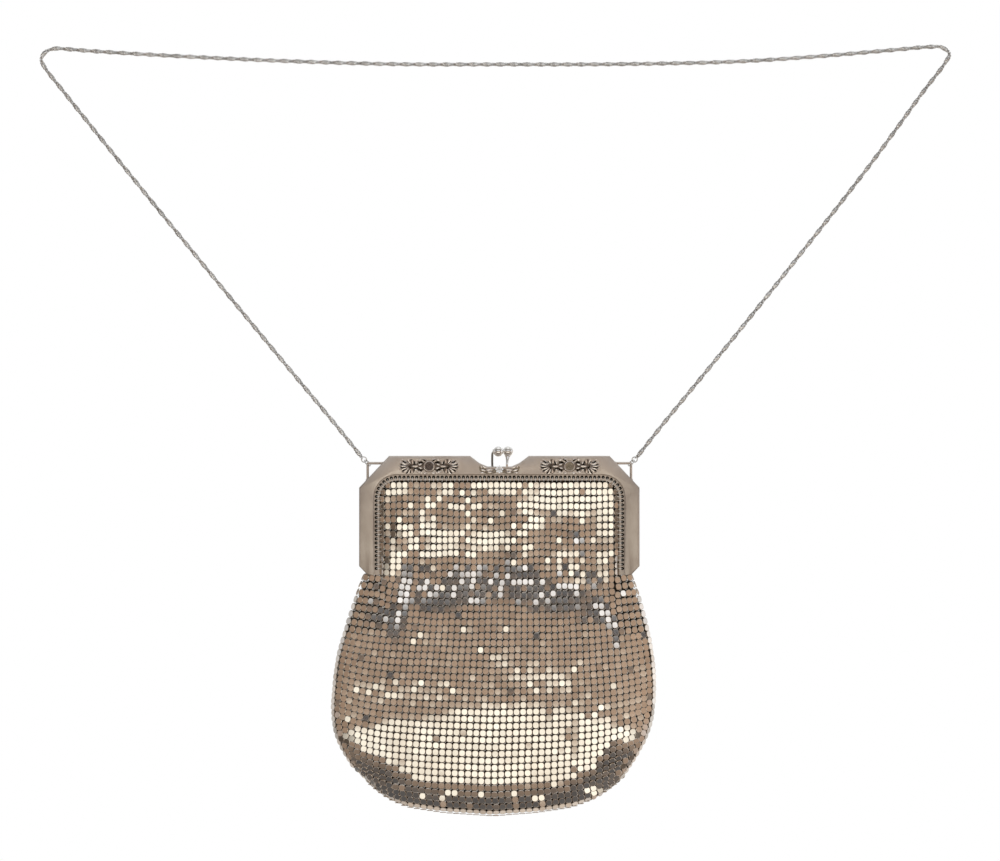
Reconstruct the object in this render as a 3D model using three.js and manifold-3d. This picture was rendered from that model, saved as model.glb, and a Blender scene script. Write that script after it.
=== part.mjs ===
// A metal mesh purse that hangs from its chain: a frame of two hinged halves with a ball clasp,
// a flat pouch of metal mesh, and a long rope chain.
// Millimetres. +Z is up and the front faces -Y. The origin is the middle of the chain's top stretch.
import * as THREE from 'three';
import { mergeVertices } from 'three/addons/utils/BufferGeometryUtils.js';
import Module from 'manifold-3d';

const wasm = await Module();
wasm.setup();

// Clearance between pieces that touch on the real purse
const gap = 0.3;

// Height of the frame's top edge below the middle of the chain
const frameDrop = 180.1;

// Frame outline, seen from the front
const frameWidth = 128.6;
const frameHeight = 54.6;
const topEdgeWidth = 101.2;
const upperChamferDrop = 14.5;
const lowerChamferInset = 3.9;
const lowerChamferRise = 4.1;
const barHeight = 8.7;
const legWidth = 6.8;
const openingCorner = 10.5;

// Notch in the top bar that makes room for the clasp
const notchWidth = 27.1;
const notchShoulderWidth = 18;
const notchFloorWidth = 11.6;
const notchShoulderDepth = 3.5;
const notchDepth = 6.2;

// Section through the closed frame, from front to back
const frameDepth = 11;
const plateThickness = 1.2;
const edgeBevel = 0.5;
const rimThickness = 1;
const stepThickness = 0.8;
const flangeRecess = 1.3;
const flangeThickness = 0.8;
const flangeWidth = 2.5;

// Row of holes that the mesh is linked to
const holeDiameter = 1;
const holePitch = 1.94;
const holeInset = 1.3;
const holeEndMargin = 3;

// Raised ornament on the front half
const panelWidth = 29.4;
const panelHeight = 7;
const panelOffset = 32.2;
const medallionDiameter = 4.8;
const medallionRimWidth = 0.75;
const reliefHeight = 0.5;
const reliefRoot = 0.3;
const flowerDiameter = 3.4;
const sprigWidth = 19;

// Ball clasp: one arm on each half, and each ball snaps past the other
const ballDiameter = 4.6;
const ballRise = 2;
const armDiameter = 1;
const armInset = 2;
const footDiameter = 2.2;
const footThickness = 0.8;
const leftArmOffset = 3.2;
const leftBallOffset = 0.5;
const collarDiameter = 2;

// Hinges in the ends of the legs
const hingeRise = 5.4;
const pinDiameter = 1.8;
const pinHeadDiameter = 3.2;
const pinHeadThickness = 0.6;
const earThickness = 1;
const earMargin = 1;

// Square wire bails on the upper chamfers
const bailDiameter = 1.2;
const bailInset = 3.7;
const bailDrop = 3.35;
const bailSetback = 0.1;

// Ring on each bail, and the chain with its end links
const ringWire = 0.5;
const ringTurn = Math.PI / 9;
const endLinkDiameter = 3;
const chainDiameter = 2.2;

// Mesh pouch
const bagWidth = 149.2;
const bagHang = 110.5;
const bagDepth = 19;
const bagOffset = -2.5;
const meshWall = 1.6;
const sleeveFullness = 8;
const bellyFullness = 2.2;
const foldDepth = 1.4;

// Numbers of sides and steps on round shapes
const wireSides = 8;
const holeSides = 5;
const ringSides = 10;
const roundSides = 12;
const chainSides = 8;
const chainStepsPerSpan = 2;
const sheetColumns = 20;

// The chain's route from the left bail over the top to the right bail, as [x, z]. The stretches
// between the hanging points sag a little, and the chain bends round each hanging point.
const chainRoute = [
  [-74.1, -167.2], [-101.6, -134.1], [-138, -89.9], [-173.8, -45.8], [-200.3, -12.7],
  [-209.4, -0.9], [-210.7, 2.4], [-208.6, 5.8], [-204.2, 7.3], [-198.6, 7],
  [-188.3, 6.2], [-151.5, 4], [-96.3, 1.5], [-45.7, 0.1], [0, 0],
  [50.9, 0.1], [106.1, 1.2], [142.9, 3.4], [179.7, 6.5], [198.6, 8.1],
  [203.4, 7.9], [207, 4.9], [205.2, 0.9], [194.9, -12.7], [170.8, -45.8],
  [136.4, -89.9], [101, -134.1], [73.9, -167.2],
];

// Side edges of the pouch below the frame. Drop is a share of bagHang, left and right are shares
// of half of bagWidth, depth is a share of half of bagDepth.
const sideRows = [
  { drop: 0.012, left: 0.788, right: 0.84, depth: 0.53 },
  { drop: 0.062, left: 0.825, right: 0.87, depth: 0.6 },
  { drop: 0.112, left: 0.856, right: 0.901, depth: 0.67 },
  { drop: 0.162, left: 0.887, right: 0.926, depth: 0.74 },
  { drop: 0.237, left: 0.924, right: 0.957, depth: 0.83 },
  { drop: 0.337, left: 0.967, right: 0.982, depth: 0.92 },
  { drop: 0.437, left: 0.986, right: 0.994, depth: 0.97 },
  { drop: 0.537, left: 0.998, right: 0.99, depth: 1 },
  { drop: 0.6, left: 0.995, right: 0.977, depth: 1 },
  { drop: 0.661, left: 0.98, right: 0.951, depth: 0.96 },
  { drop: 0.736, left: 0.93, right: 0.895, depth: 0.85 },
  { drop: 0.786, left: 0.881, right: 0.846, depth: 0.7 },
  { drop: 0.836, left: 0.807, right: 0.797, depth: 0.43 },
  { drop: 0.861, left: 0.77, right: 0.753, depth: 0 },
];

// Bottom edge of the pouch. Across is a share of the way from its left end to its right end,
// rise is a share of bagHang above the lowest point.
const bottomRows = [
  { across: 0, rise: 0.139 },
  { across: 0.04, rise: 0.102 },
  { across: 0.093, rise: 0.064 },
  { across: 0.16, rise: 0.036 },
  { across: 0.3, rise: 0.014 },
  { across: 0.5, rise: 0 },
  { across: 0.68, rise: 0.014 },
  { across: 0.82, rise: 0.036 },
  { across: 0.891, rise: 0.064 },
  { across: 0.955, rise: 0.102 },
  { across: 1, rise: 0.139 },
];

// Rows of the pouch inside the frame, as shares of the height of the opening
const sleeveShares = [0, 0.015, 0.06, 0.12, 0.18, 0.3, 0.44, 0.58, 0.72, 0.86, 1];

// Soft folds. Across and lean are shares of the row's width, top and bottom are shares of the
// pouch's height, width is a share of the row's width, and rise is a share of foldDepth.
const frontFolds = [
  { across: 0.1, lean: -0.07, top: 0.01, bottom: 0.34, width: 0.025, rise: 1 },
  { across: 0.22, lean: -0.04, top: 0, bottom: 0.5, width: 0.035, rise: -0.5 },
  { across: 0.33, lean: 0, top: 0.02, bottom: 0.4, width: 0.04, rise: 0.7 },
  { across: 0.44, lean: 0.02, top: 0.05, bottom: 0.45, width: 0.035, rise: -0.5 },
  { across: 0.54, lean: 0.02, top: 0, bottom: 0.48, width: 0.04, rise: 0.9 },
  { across: 0.66, lean: 0.02, top: 0.04, bottom: 0.4, width: 0.035, rise: -0.5 },
  { across: 0.77, lean: 0.04, top: 0, bottom: 0.36, width: 0.04, rise: 0.8 },
  { across: 0.88, lean: 0.03, top: 0.1, bottom: 0.55, width: 0.03, rise: -0.6 },
];
const backFolds = [
  { across: 0.2, lean: -0.03, top: 0, bottom: 0.45, width: 0.045, rise: 0.7 },
  { across: 0.4, lean: 0, top: 0, bottom: 0.4, width: 0.045, rise: -0.5 },
  { across: 0.6, lean: 0, top: 0, bottom: 0.4, width: 0.045, rise: 0.6 },
  { across: 0.8, lean: 0.03, top: 0, bottom: 0.45, width: 0.045, rise: -0.5 },
];

// Places that follow from the sizes above
const frameTop = -frameDrop;
const legEnd = frameTop - frameHeight;
const openingHalf = frameWidth / 2 - legWidth;
const openingTop = frameTop - barHeight;
const halfDepth = frameDepth / 2;
const flangeFront = halfDepth - flangeRecess;
const flangeBack = flangeFront - flangeThickness;
const notchFloor = frameTop - notchDepth;
const hingeHeight = legEnd + hingeRise;

// Turn a closed geometry into a solid that can be joined and cut
function toSolid(geometry) {
  const bare = geometry.index ? geometry.toNonIndexed() : geometry.clone();
  bare.deleteAttribute('normal');
  bare.deleteAttribute('uv');
  const welded = mergeVertices(bare, 1e-4);
  return new wasm.Manifold(new wasm.Mesh({
    numProp: 3,
    vertProperties: new Float32Array(welded.attributes.position.array),
    triVerts: new Uint32Array(welded.index.array),
  }));
}

function toGeometry(solid) {
  const mesh = solid.getMesh();
  const geometry = new THREE.BufferGeometry();
  geometry.setAttribute('position', new THREE.BufferAttribute(mesh.vertProperties, 3));
  geometry.setIndex(new THREE.BufferAttribute(mesh.triVerts, 1));
  geometry.computeVertexNormals();
  return geometry;
}

function joined(geometries) {
  return geometries.map(toSolid).reduce((whole, piece) => whole.add(piece));
}

// Plate between two depths whose outline is a list of [x, z] points
function slab(outline, nearDepth, farDepth, bevel = 0) {
  const shape = new THREE.Shape(outline.map(([x, z]) => new THREE.Vector2(x, z)));
  const thickness = Math.abs(farDepth - nearDepth);
  const geometry = new THREE.ExtrudeGeometry(shape, {
    depth: thickness - 2 * bevel,
    bevelEnabled: bevel > 0,
    bevelThickness: bevel,
    bevelSize: bevel,
    bevelOffset: -bevel,
    bevelSegments: 1,
  });
  geometry.rotateX(Math.PI / 2);
  return geometry.translate(0, Math.max(nearDepth, farDepth) - bevel, 0);
}

function ballAt(centre, diameter, sides = roundSides) {
  const geometry = new THREE.SphereGeometry(diameter / 2, sides, sides / 2);
  return geometry.translate(centre.x, centre.y, centre.z);
}

// Straight rod between two points, which may taper
function rod(start, end, startDiameter, endDiameter = startDiameter, sides = wireSides) {
  const along = end.clone().sub(start);
  const geometry = new THREE.CylinderGeometry(endDiameter / 2, startDiameter / 2, along.length(), sides);
  const up = new THREE.Vector3(0, 1, 0);
  const turn = new THREE.Quaternion().setFromUnitVectors(up, along.clone().normalize());
  geometry.applyQuaternion(turn);
  const middle = start.clone().lerp(end, 0.5);
  return geometry.translate(middle.x, middle.y, middle.z);
}

// Ring of wire whose plane holds two directions
function ring(centre, radius, along, across) {
  const geometry = new THREE.TorusGeometry(radius, ringWire / 2, holeSides, ringSides);
  const axis = new THREE.Vector3().crossVectors(along, across);
  const place = new THREE.Matrix4().makeBasis(along, across, axis).setPosition(centre);
  return geometry.applyMatrix4(place);
}

// Move an open line of [x, z] points sideways, with sharp corners kept sharp
function offsetLine(points, distance) {
  const normals = points.slice(1).map(([x, z], i) => {
    const [dx, dz] = [x - points[i][0], z - points[i][1]];
    const length = Math.hypot(dx, dz);
    return [dz / length, -dx / length];
  });
  return points.map(([x, z], i) => {
    const before = normals[Math.max(i - 1, 0)];
    const after = normals[Math.min(i, normals.length - 1)];
    const spread = 1 + before[0] * after[0] + before[1] * after[1];
    const shift = distance / spread;
    return [x + (before[0] + after[0]) * shift, z + (before[1] + after[1]) * shift];
  });
}

function mirrored(points) {
  return points.map(([x, z]) => [-x, z]).reverse();
}

// Outer edge of the frame, from the end of the left leg over the top to the end of the right leg
function frameEdge() {
  const right = [
    [notchFloorWidth / 2, notchFloor],
    [notchShoulderWidth / 2, frameTop - notchShoulderDepth],
    [notchWidth / 2, frameTop],
    [topEdgeWidth / 2, frameTop],
    [frameWidth / 2, frameTop - upperChamferDrop],
    [frameWidth / 2, legEnd + lowerChamferRise],
    [frameWidth / 2 - lowerChamferInset, legEnd],
    [openingHalf, legEnd],
  ];
  return [...mirrored(right), ...right];
}

// Edge of the frame's opening, moved inwards by an inset, with round upper corners
function openingEdge(inset) {
  const half = openingHalf - inset;
  const top = openingTop - inset;
  const radius = openingCorner - inset;
  const steps = roundSides / 2;
  const right = [];
  for (let i = 0; i <= steps; i++) {
    const angle = (1 - i / steps) * Math.PI / 2;
    right.push([half - radius + radius * Math.cos(angle), top - radius + radius * Math.sin(angle)]);
  }
  right.push([half, legEnd]);
  return [...mirrored(right), ...right];
}

// Band between an outer line and an inner line that both run from left to right
function band(outer, inner) {
  return [...outer, ...inner.slice().reverse()];
}

// Places of the link holes along the flange, evenly spread at close to the named pitch
function holePlaces() {
  const line = openingEdge(holeInset).map(([x, z]) => new THREE.Vector3(x, 0, z));
  line[0].z += holeEndMargin;
  line[line.length - 1].z += holeEndMargin;
  const path = new THREE.CurvePath();
  for (let i = 1; i < line.length; i++) {
    path.add(new THREE.LineCurve3(line[i - 1], line[i]));
  }
  return path.getSpacedPoints(Math.round(path.getLength() / holePitch));
}

function holeCutters(side) {
  const front = side * (flangeFront + gap);
  const back = side * (flangeBack - gap);
  return holePlaces().map((place) => {
    const start = new THREE.Vector3(place.x, front, place.z);
    const end = new THREE.Vector3(place.x, back, place.z);
    return toSolid(rod(start, end, holeDiameter, holeDiameter, holeSides));
  });
}

// Hinge ear: a plate across the leg's width with a hole for the pin
function hingeEar(side, innerEdge) {
  const radius = pinDiameter / 2 + gap + earMargin;
  const root = halfDepth - plateThickness / 2;
  const shape = new THREE.Shape();
  shape.moveTo(side * root, hingeHeight - radius);
  shape.lineTo(-side * radius, hingeHeight - radius);
  shape.lineTo(-side * radius, hingeHeight + radius);
  shape.lineTo(side * root, hingeHeight + radius);
  const hole = new THREE.Path().absarc(0, hingeHeight, pinDiameter / 2 + gap, 0, 2 * Math.PI);
  shape.holes.push(hole);
  const options = { depth: earThickness, bevelEnabled: false, curveSegments: roundSides / 2 };
  const geometry = new THREE.ExtrudeGeometry(shape, options);
  const toFrame = new THREE.Matrix4().makeBasis(
    new THREE.Vector3(0, 1, 0), new THREE.Vector3(0, 0, 1), new THREE.Vector3(1, 0, 0),
  );
  return geometry.applyMatrix4(toFrame.setPosition(innerEdge, 0, 0));
}

// The front half's ears lie just outside the pin's inner head, the back half's outside those
const pinInnerEnd = openingHalf + stepThickness / 2;
const frontEar = pinInnerEnd + pinHeadThickness + gap;
const backEar = frontEar + earThickness + gap;
const pinOuterEnd = backEar + earThickness + gap + pinHeadThickness;

function hingeEars(side) {
  const inner = side < 0 ? frontEar : backEar;
  return [hingeEar(side, inner), hingeEar(side, -inner - earThickness)];
}

// One stamped half of the frame. Side is -1 for the front half and 1 for the back half.
function frameHalf(side) {
  const edge = frameEdge();
  const face = side * halfDepth;
  const belowBevel = side * (halfDepth - edgeBevel);
  const parting = side * gap / 2;
  const plateBack = side * (halfDepth - plateThickness);
  const plate = slab(band(edge, openingEdge(0)), face, plateBack, edgeBevel);
  const rim = slab(band(edge, offsetLine(edge, rimThickness)), belowBevel, parting);
  const stepBand = band(openingEdge(-stepThickness), openingEdge(0));
  const step = slab(stepBand, belowBevel, side * flangeBack);
  const flangeBand = band(openingEdge(-stepThickness / 2), openingEdge(flangeWidth));
  const flange = slab(flangeBand, side * flangeFront, side * flangeBack);
  return joined([plate, rim, step, flange, ...hingeEars(side)]);
}

// Hole in the notch's floor for a clasp arm
function armHole(x, side) {
  const y = side * armInset;
  const start = new THREE.Vector3(x, y, notchFloor - 2 * rimThickness);
  const end = new THREE.Vector3(x, y, notchFloor + rimThickness);
  return toSolid(rod(start, end, armDiameter + 2 * gap));
}

// Leaf outline from its root at the origin, along +X, as [x, z] points
function leaf(length, width) {
  const stations = [{ along: 0.3, half: 0.4 }, { along: 0.75, half: 0.5 }];
  const lower = stations.map(({ along, half }) => [along * length, -half * width]);
  const upper = stations.map(({ along, half }) => [along * length, half * width]).reverse();
  return [[0, 0], ...lower, [length, 0], ...upper];
}

function placed(outline, x, z, angle) {
  const [c, s] = [Math.cos(angle), Math.sin(angle)];
  return outline.map(([px, pz]) => [x + c * px - s * pz, z + s * px + c * pz]);
}

function disc(x, z, diameter, sides) {
  const points = [];
  for (let i = 0; i < sides; i++) {
    const angle = 2 * Math.PI * i / sides;
    points.push([x + diameter / 2 * Math.cos(angle), z + diameter / 2 * Math.sin(angle)]);
  }
  return points;
}

function raised(outline, height = reliefHeight) {
  return slab(outline, -halfDepth - height, -halfDepth + reliefRoot);
}

// Leaves on one side of a panel's medallion. Along and off are shares of the panel's width and
// height from its centre, length and width are shares of its height, and angle is in degrees.
const panelLeaves = [
  { along: 0.085, off: 0.1, length: 0.75, width: 0.24, angle: 24 },
  { along: 0.085, off: -0.1, length: 0.75, width: 0.24, angle: -24 },
  { along: 0.17, off: 0, length: 0.62, width: 0.2, angle: 0 },
  { along: 0.3, off: 0.12, length: 0.5, width: 0.18, angle: 128 },
  { along: 0.3, off: -0.12, length: 0.5, width: 0.18, angle: -128 },
  { along: 0.33, off: 0.06, length: 0.62, width: 0.17, angle: 66 },
  { along: 0.33, off: 0.03, length: 0.95, width: 0.17, angle: 31 },
  { along: 0.33, off: 0, length: 1.1, width: 0.17, angle: 0 },
  { along: 0.33, off: -0.03, length: 0.95, width: 0.17, angle: -31 },
  { along: 0.33, off: -0.06, length: 0.62, width: 0.17, angle: -66 },
];

// Leaf-scroll panel with a round medallion, centred on the top bar
function ornamentPanel(centre) {
  const middle = frameTop - barHeight / 2;
  const pieces = [];
  for (const row of panelLeaves) {
    const outline = leaf(row.length * panelHeight, row.width * panelHeight);
    const [x, z] = [row.along * panelWidth, row.off * panelHeight];
    const turned = placed(outline, x, z, row.angle * Math.PI / 180);
    for (const half of [turned, mirrored(turned)]) {
      pieces.push(toSolid(raised(placed(half, centre, middle, 0))));
    }
  }
  const rim = toSolid(raised(disc(centre, middle, medallionDiameter, roundSides)));
  const recess = medallionDiameter - 2 * medallionRimWidth;
  const hollow = toSolid(slab(disc(centre, middle, recess, roundSides), -frameDepth, -halfDepth));
  const stud = toSolid(raised(disc(centre, middle, recess / 2, holeSides)));
  pieces.push(rim.subtract(hollow).add(stud));
  return pieces.reduce((whole, piece) => whole.add(piece));
}

// Leaves beside the flower in the notch. Along is a share of sprigWidth from its centre, length
// and width are shares of the height of bar that the notch leaves, angle is in degrees.
const sprigLeaves = [
  { along: 0.1, length: 1.3, width: 0.5, angle: 0 },
  { along: 0.2, length: 1.3, width: 0.45, angle: 32 },
  { along: 0.3, length: 1.2, width: 0.4, angle: 48 },
  { along: 0.34, length: 1.1, width: 0.4, angle: 12 },
];

// Small flower on the notch's floor with a sprig of leaves on each side
function ornamentSprig() {
  const bar = barHeight - notchDepth;
  const middle = notchFloor - bar / 2;
  const pieces = [];
  for (const row of sprigLeaves) {
    const outline = leaf(row.length * bar, row.width * bar);
    const turned = placed(outline, row.along * sprigWidth, middle, row.angle * Math.PI / 180);
    pieces.push(toSolid(raised(turned)), toSolid(raised(mirrored(turned))));
  }
  const flower = disc(0, notchFloor, flowerDiameter, wireSides);
  pieces.push(toSolid(slab(flower, -halfDepth - reliefHeight, -halfDepth + plateThickness)));
  return pieces.reduce((whole, piece) => whole.add(piece));
}

const rightArmOffset = leftArmOffset + gap;
const rightBallOffset = ballDiameter - leftBallOffset - gap / 2;

function frontFrame() {
  let half = frameHalf(-1).subtract(armHole(rightArmOffset, -1));
  half = half.add(ornamentPanel(-panelOffset)).add(ornamentPanel(panelOffset)).add(ornamentSprig());
  return holeCutters(-1).reduce((whole, cutter) => whole.subtract(cutter), half);
}

// The bails stand just behind the parting line, in a plane of their own
const bailDepth = gap / 2 + bailDiameter / 2 + bailSetback;

function bailCorner(side) {
  return new THREE.Vector3(side * (frameWidth / 2 - bailInset), bailDepth, frameTop - bailDrop);
}

// Square wire bail whose two legs are soldered to the upper chamfer
function bail(side) {
  const corner = bailCorner(side);
  const chamferWidth = (frameWidth - topEdgeWidth) / 2;
  const root = bailDiameter / 2 + rimThickness / 2;
  const across = topEdgeWidth / 2 + chamferWidth * bailDrop / upperChamferDrop - root;
  const down = frameTop - upperChamferDrop * (1 - bailInset / chamferWidth) - root;
  const inner = new THREE.Vector3(side * across, bailDepth, corner.z);
  const lower = new THREE.Vector3(corner.x, bailDepth, down);
  return joined([
    rod(corner, inner, bailDiameter),
    rod(corner, lower, bailDiameter),
    ballAt(corner, bailDiameter, wireSides),
  ]);
}

function backFrame() {
  return frameHalf(1).subtract(armHole(-leftArmOffset, 1)).add(bail(-1)).add(bail(1));
}

// Foot under the notch's floor that holds an arm in its hole
function armFoot(x, y) {
  const top = notchFloor - rimThickness - gap;
  const start = new THREE.Vector3(x, y, top - footThickness);
  return rod(start, new THREE.Vector3(x, y, top), footDiameter);
}

const ballHeight = frameTop + ballRise;
const ballSetback = Math.sqrt((ballDiameter + gap) ** 2 - (leftBallOffset + rightBallOffset) ** 2) / 2;

// Left arm: a thin bent wire that rises from the back half and brings its ball to the front
function backClasp() {
  const x = -leftArmOffset;
  const bottom = notchFloor - rimThickness - gap - footThickness / 2;
  const ball = new THREE.Vector3(-leftBallOffset, -ballSetback, ballHeight);
  const bend = new THREE.Vector3(x, -ballSetback, ballHeight - ballDiameter / 4);
  const path = new THREE.CatmullRomCurve3([
    new THREE.Vector3(x, armInset, bottom),
    new THREE.Vector3(x, armInset, notchFloor + rimThickness),
    new THREE.Vector3(x, armInset - ballSetback, frameTop - ballDiameter / 2),
    bend,
    ball,
  ]);
  const section = new THREE.Shape().absarc(0, 0, armDiameter / 2, 0, 2 * Math.PI);
  const options = { steps: roundSides, extrudePath: path, curveSegments: wireSides / 2 };
  const arm = new THREE.ExtrudeGeometry(section, options);
  return joined([armFoot(x, armInset), arm, ballAt(ball, ballDiameter)]);
}

// Right arm: a post that rises from the front half and widens to the collar under its ball
function frontClasp() {
  const x = rightArmOffset;
  const bottom = new THREE.Vector3(x, -armInset, notchFloor - rimThickness - gap - footThickness / 2);
  const knee = new THREE.Vector3(x, -armInset, notchFloor + rimThickness);
  const ball = new THREE.Vector3(rightBallOffset, ballSetback, ballHeight);
  const pieces = [
    armFoot(x, -armInset),
    rod(bottom, knee, armDiameter),
    ballAt(knee, armDiameter, wireSides),
    rod(knee, ball, armDiameter, collarDiameter),
    ballAt(ball, ballDiameter),
  ];
  return joined(pieces);
}

// Rivet through the ears in the end of a leg
function hingePin(side) {
  const headTop = (pinOuterEnd - pinInnerEnd) / 2;
  const headBase = headTop - pinHeadThickness;
  const profile = [
    [0, -headTop], [pinHeadDiameter / 2, -headTop], [pinHeadDiameter / 2, -headBase],
    [pinDiameter / 2, -headBase], [pinDiameter / 2, headBase],
    [pinHeadDiameter / 2, headBase], [pinHeadDiameter / 2, headTop], [0, headTop],
  ];
  const points = profile.map(([radius, along]) => new THREE.Vector2(radius, along));
  const geometry = new THREE.LatheGeometry(points, roundSides);
  geometry.rotateZ(-Math.PI / 2);
  return toSolid(geometry.translate(side * (pinInnerEnd + pinOuterEnd) / 2, 0, hingeHeight));
}

// The ring and the end link lie along the line that halves the bail's corner
function cornerLine(side) {
  return new THREE.Vector3(side, 0, 1).normalize();
}

// On that line the ring's wire lies in the crook of the bail's corner on one side, and on the
// other side it leaves room for the end link's wire
const ringSeat = (ringWire / 2 + gap + bailDiameter / 2) * Math.SQRT2;
const linkSeat = bailDiameter / 2 + gap + ringWire / 2;
const ringRadius = (ringSeat + linkSeat + gap + ringWire) / 2;
const endLinkRadius = (endLinkDiameter - ringWire) / 2;

function beyondCorner(side, distance) {
  return bailCorner(side).addScaledVector(cornerLine(side), distance);
}

function chainRing(side) {
  const along = cornerLine(side);
  const across = new THREE.Vector3(0, 1, 0).applyAxisAngle(along, side * ringTurn);
  return toSolid(ring(beyondCorner(side, ringRadius - ringSeat), ringRadius, along, across));
}

// Link that passes through the ring, with its plane square to the ring's
function endLink(side) {
  const along = cornerLine(side);
  const across = new THREE.Vector3(0, 1, 0).applyAxisAngle(along, side * ringTurn + Math.PI / 2);
  return ring(beyondCorner(side, linkSeat + endLinkRadius), endLinkRadius, along, across);
}

function chainEnd(side) {
  return beyondCorner(side, linkSeat + 2 * endLinkRadius);
}

// Rope chain as one tube with an end link at each end. Every span between two points of the
// route gets the same number of steps, so the short spans at the bends are finer.
function ropeChain() {
  const middle = chainRoute.map(([x, z]) => new THREE.Vector3(x, 0, z));
  const route = new THREE.CatmullRomCurve3([chainEnd(-1), ...middle, chainEnd(1)]);
  route.getUtoTmapping = (share) => share;
  const section = new THREE.Shape().absarc(0, 0, chainDiameter / 2, 0, 2 * Math.PI);
  const steps = (middle.length + 1) * chainStepsPerSpan;
  const options = { steps, extrudePath: route, curveSegments: chainSides / 2 };
  const tube = new THREE.ExtrudeGeometry(section, options);
  return joined([tube, endLink(-1), endLink(1)]);
}

// Value of a column at a place in a table, on straight lines between its rows
function lookUp(rows, key, place, column) {
  const after = rows.findIndex((row) => row[key] >= place);
  if (after <= 0) {
    return after < 0 ? rows[rows.length - 1][column] : rows[0][column];
  }
  const [low, high] = [rows[after - 1], rows[after]];
  const share = (place - low[key]) / (high[key] - low[key]);
  return low[column] + share * (high[column] - low[column]);
}

// Rows of the pouch from its mouth down: height of the side edges, both edges, half depth and
// how square the section is
function pouchRows() {
  const mouth = openingTop - flangeWidth - gap;
  const half = openingHalf - flangeWidth - gap;
  const corner = openingCorner - flangeWidth - gap;
  const height = mouth - legEnd + gap;
  const mouthDepth = (flangeFront + flangeBack) / 2 + meshWall / 2;
  const neckDepth = sideRows[0].depth * bagDepth / 2;
  const sleeve = sleeveShares.map((share) => {
    const drop = share * height;
    const fall = Math.max(corner - drop, 0);
    const edge = half - corner + Math.sqrt(corner ** 2 - fall ** 2);
    const depth = mouthDepth + share * (neckDepth - mouthDepth);
    return { z: mouth - drop, left: -edge, right: edge, depth, fullness: sleeveFullness };
  });
  const hang = sideRows.map(({ drop, left, right, depth }) => ({
    z: legEnd - gap - drop * bagHang,
    left: bagOffset - left * bagWidth / 2,
    right: bagOffset + right * bagWidth / 2,
    depth: depth * bagDepth / 2,
    fullness: bellyFullness + (sleeveFullness - bellyFullness) * Math.max(1 - drop / 0.3, 0) ** 2,
  }));
  return [...sleeve, ...hang];
}

// How far a fold lifts the sheet at a place. Across runs from 0 to 1, drop from 0 to 1.
function foldHeight(folds, across, drop) {
  let height = 0;
  for (const fold of folds) {
    const share = (drop - fold.top) / (fold.bottom - fold.top);
    if (share > 0 && share < 1) {
      const away = (across - fold.across - fold.lean * share) / fold.width;
      height += fold.rise * Math.exp(-away * away) * Math.sin(Math.PI * share);
    }
  }
  return height * foldDepth;
}

// Spread of the columns from -1 to 1, closer together near the two edges
function columnPlace(index) {
  const even = 2 * index / sheetColumns - 1;
  return 0.5 * even + 0.5 * Math.sin(even * Math.PI / 2);
}

// Point of the pouch's surface on a row, at a place from -1 to 1, on the front or back sheet.
// A positive inset gives the inner face of the wall.
function pouchPoint(rows, row, place, side, inset) {
  const mouth = rows[0].z;
  const last = rows[rows.length - 1];
  const drop = (mouth - row.z) / (mouth - last.z);
  const across = (place + 1) / 2;
  const inner = inset * Math.sign(row.left - row.right);
  const x = (row.left - inner) * (1 - across) + (row.right + inner) * across;
  const rise = lookUp(bottomRows, 'across', across, 'rise') - bottomRows[0].rise;
  const sag = drop ** 2 * rise * bagHang;
  const below = legEnd - row.z;
  const sleeveLift = -inset * (mouth - row.z) / (mouth - legEnd);
  const lift = below > 0 ? inset * (2 * below / (legEnd - last.z) - 1) : sleeveLift;
  const edge = (1 - Math.abs(place) ** row.fullness) ** (1 / row.fullness);
  const folds = side < 0 ? frontFolds : backFolds;
  const depth = Math.max(row.depth - inset, 0) + (row.depth > 0 ? foldHeight(folds, across, drop) : 0);
  return new THREE.Vector3(x, side * edge * depth, row.z + sag + lift);
}

// Closed loop of points round the pouch on one row, from the left edge over the front
function pouchLoop(rows, row, inset) {
  const loop = [];
  for (let i = 0; i < sheetColumns; i++) {
    loop.push(pouchPoint(rows, row, columnPlace(i), -1, inset));
  }
  for (let i = sheetColumns; i > 0; i--) {
    loop.push(pouchPoint(rows, row, columnPlace(i), 1, inset));
  }
  return loop;
}

// Strip of triangles between two loops, without the ones that have no area
function stitch(positions, upper, lower) {
  for (let i = 0; i < upper.length; i++) {
    const next = (i + 1) % upper.length;
    const triangles = [[upper[i], lower[i], lower[next]], [upper[i], lower[next], upper[next]]];
    for (const [a, b, c] of triangles) {
      if (new THREE.Triangle(a, b, c).getArea() > 1e-9) {
        positions.push(...a.toArray(), ...b.toArray(), ...c.toArray());
      }
    }
  }
}

// Hollow mesh pouch, open at the mouth between the two halves of the frame
function meshBag() {
  const rows = pouchRows();
  const outer = rows.map((row) => pouchLoop(rows, row, 0));
  const inner = rows.map((row) => pouchLoop(rows, row, meshWall));
  const positions = [];
  for (let i = 1; i < rows.length; i++) {
    stitch(positions, outer[i - 1], outer[i]);
    stitch(positions, inner[i], inner[i - 1]);
  }
  stitch(positions, inner[0], outer[0]);
  const geometry = new THREE.BufferGeometry();
  geometry.setAttribute('position', new THREE.Float32BufferAttribute(positions, 3));
  return toSolid(geometry);
}

// Finishes
const stampedMetal = { color: 0xa39282, roughness: 0.45, metalness: 1 };
const polishedMetal = { color: 0xd0ccc6, roughness: 0.15, metalness: 1 };
const chainMetal = { color: 0xa09a92, roughness: 0.35, metalness: 1 };
const meshMetal = { color: 0xb8a998, roughness: 0.3, metalness: 1 };

const purse = new THREE.Group();

function addPiece(name, solid, finish) {
  const mesh = new THREE.Mesh(toGeometry(solid), new THREE.MeshStandardMaterial(finish));
  mesh.name = name;
  purse.add(mesh);
}

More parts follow.
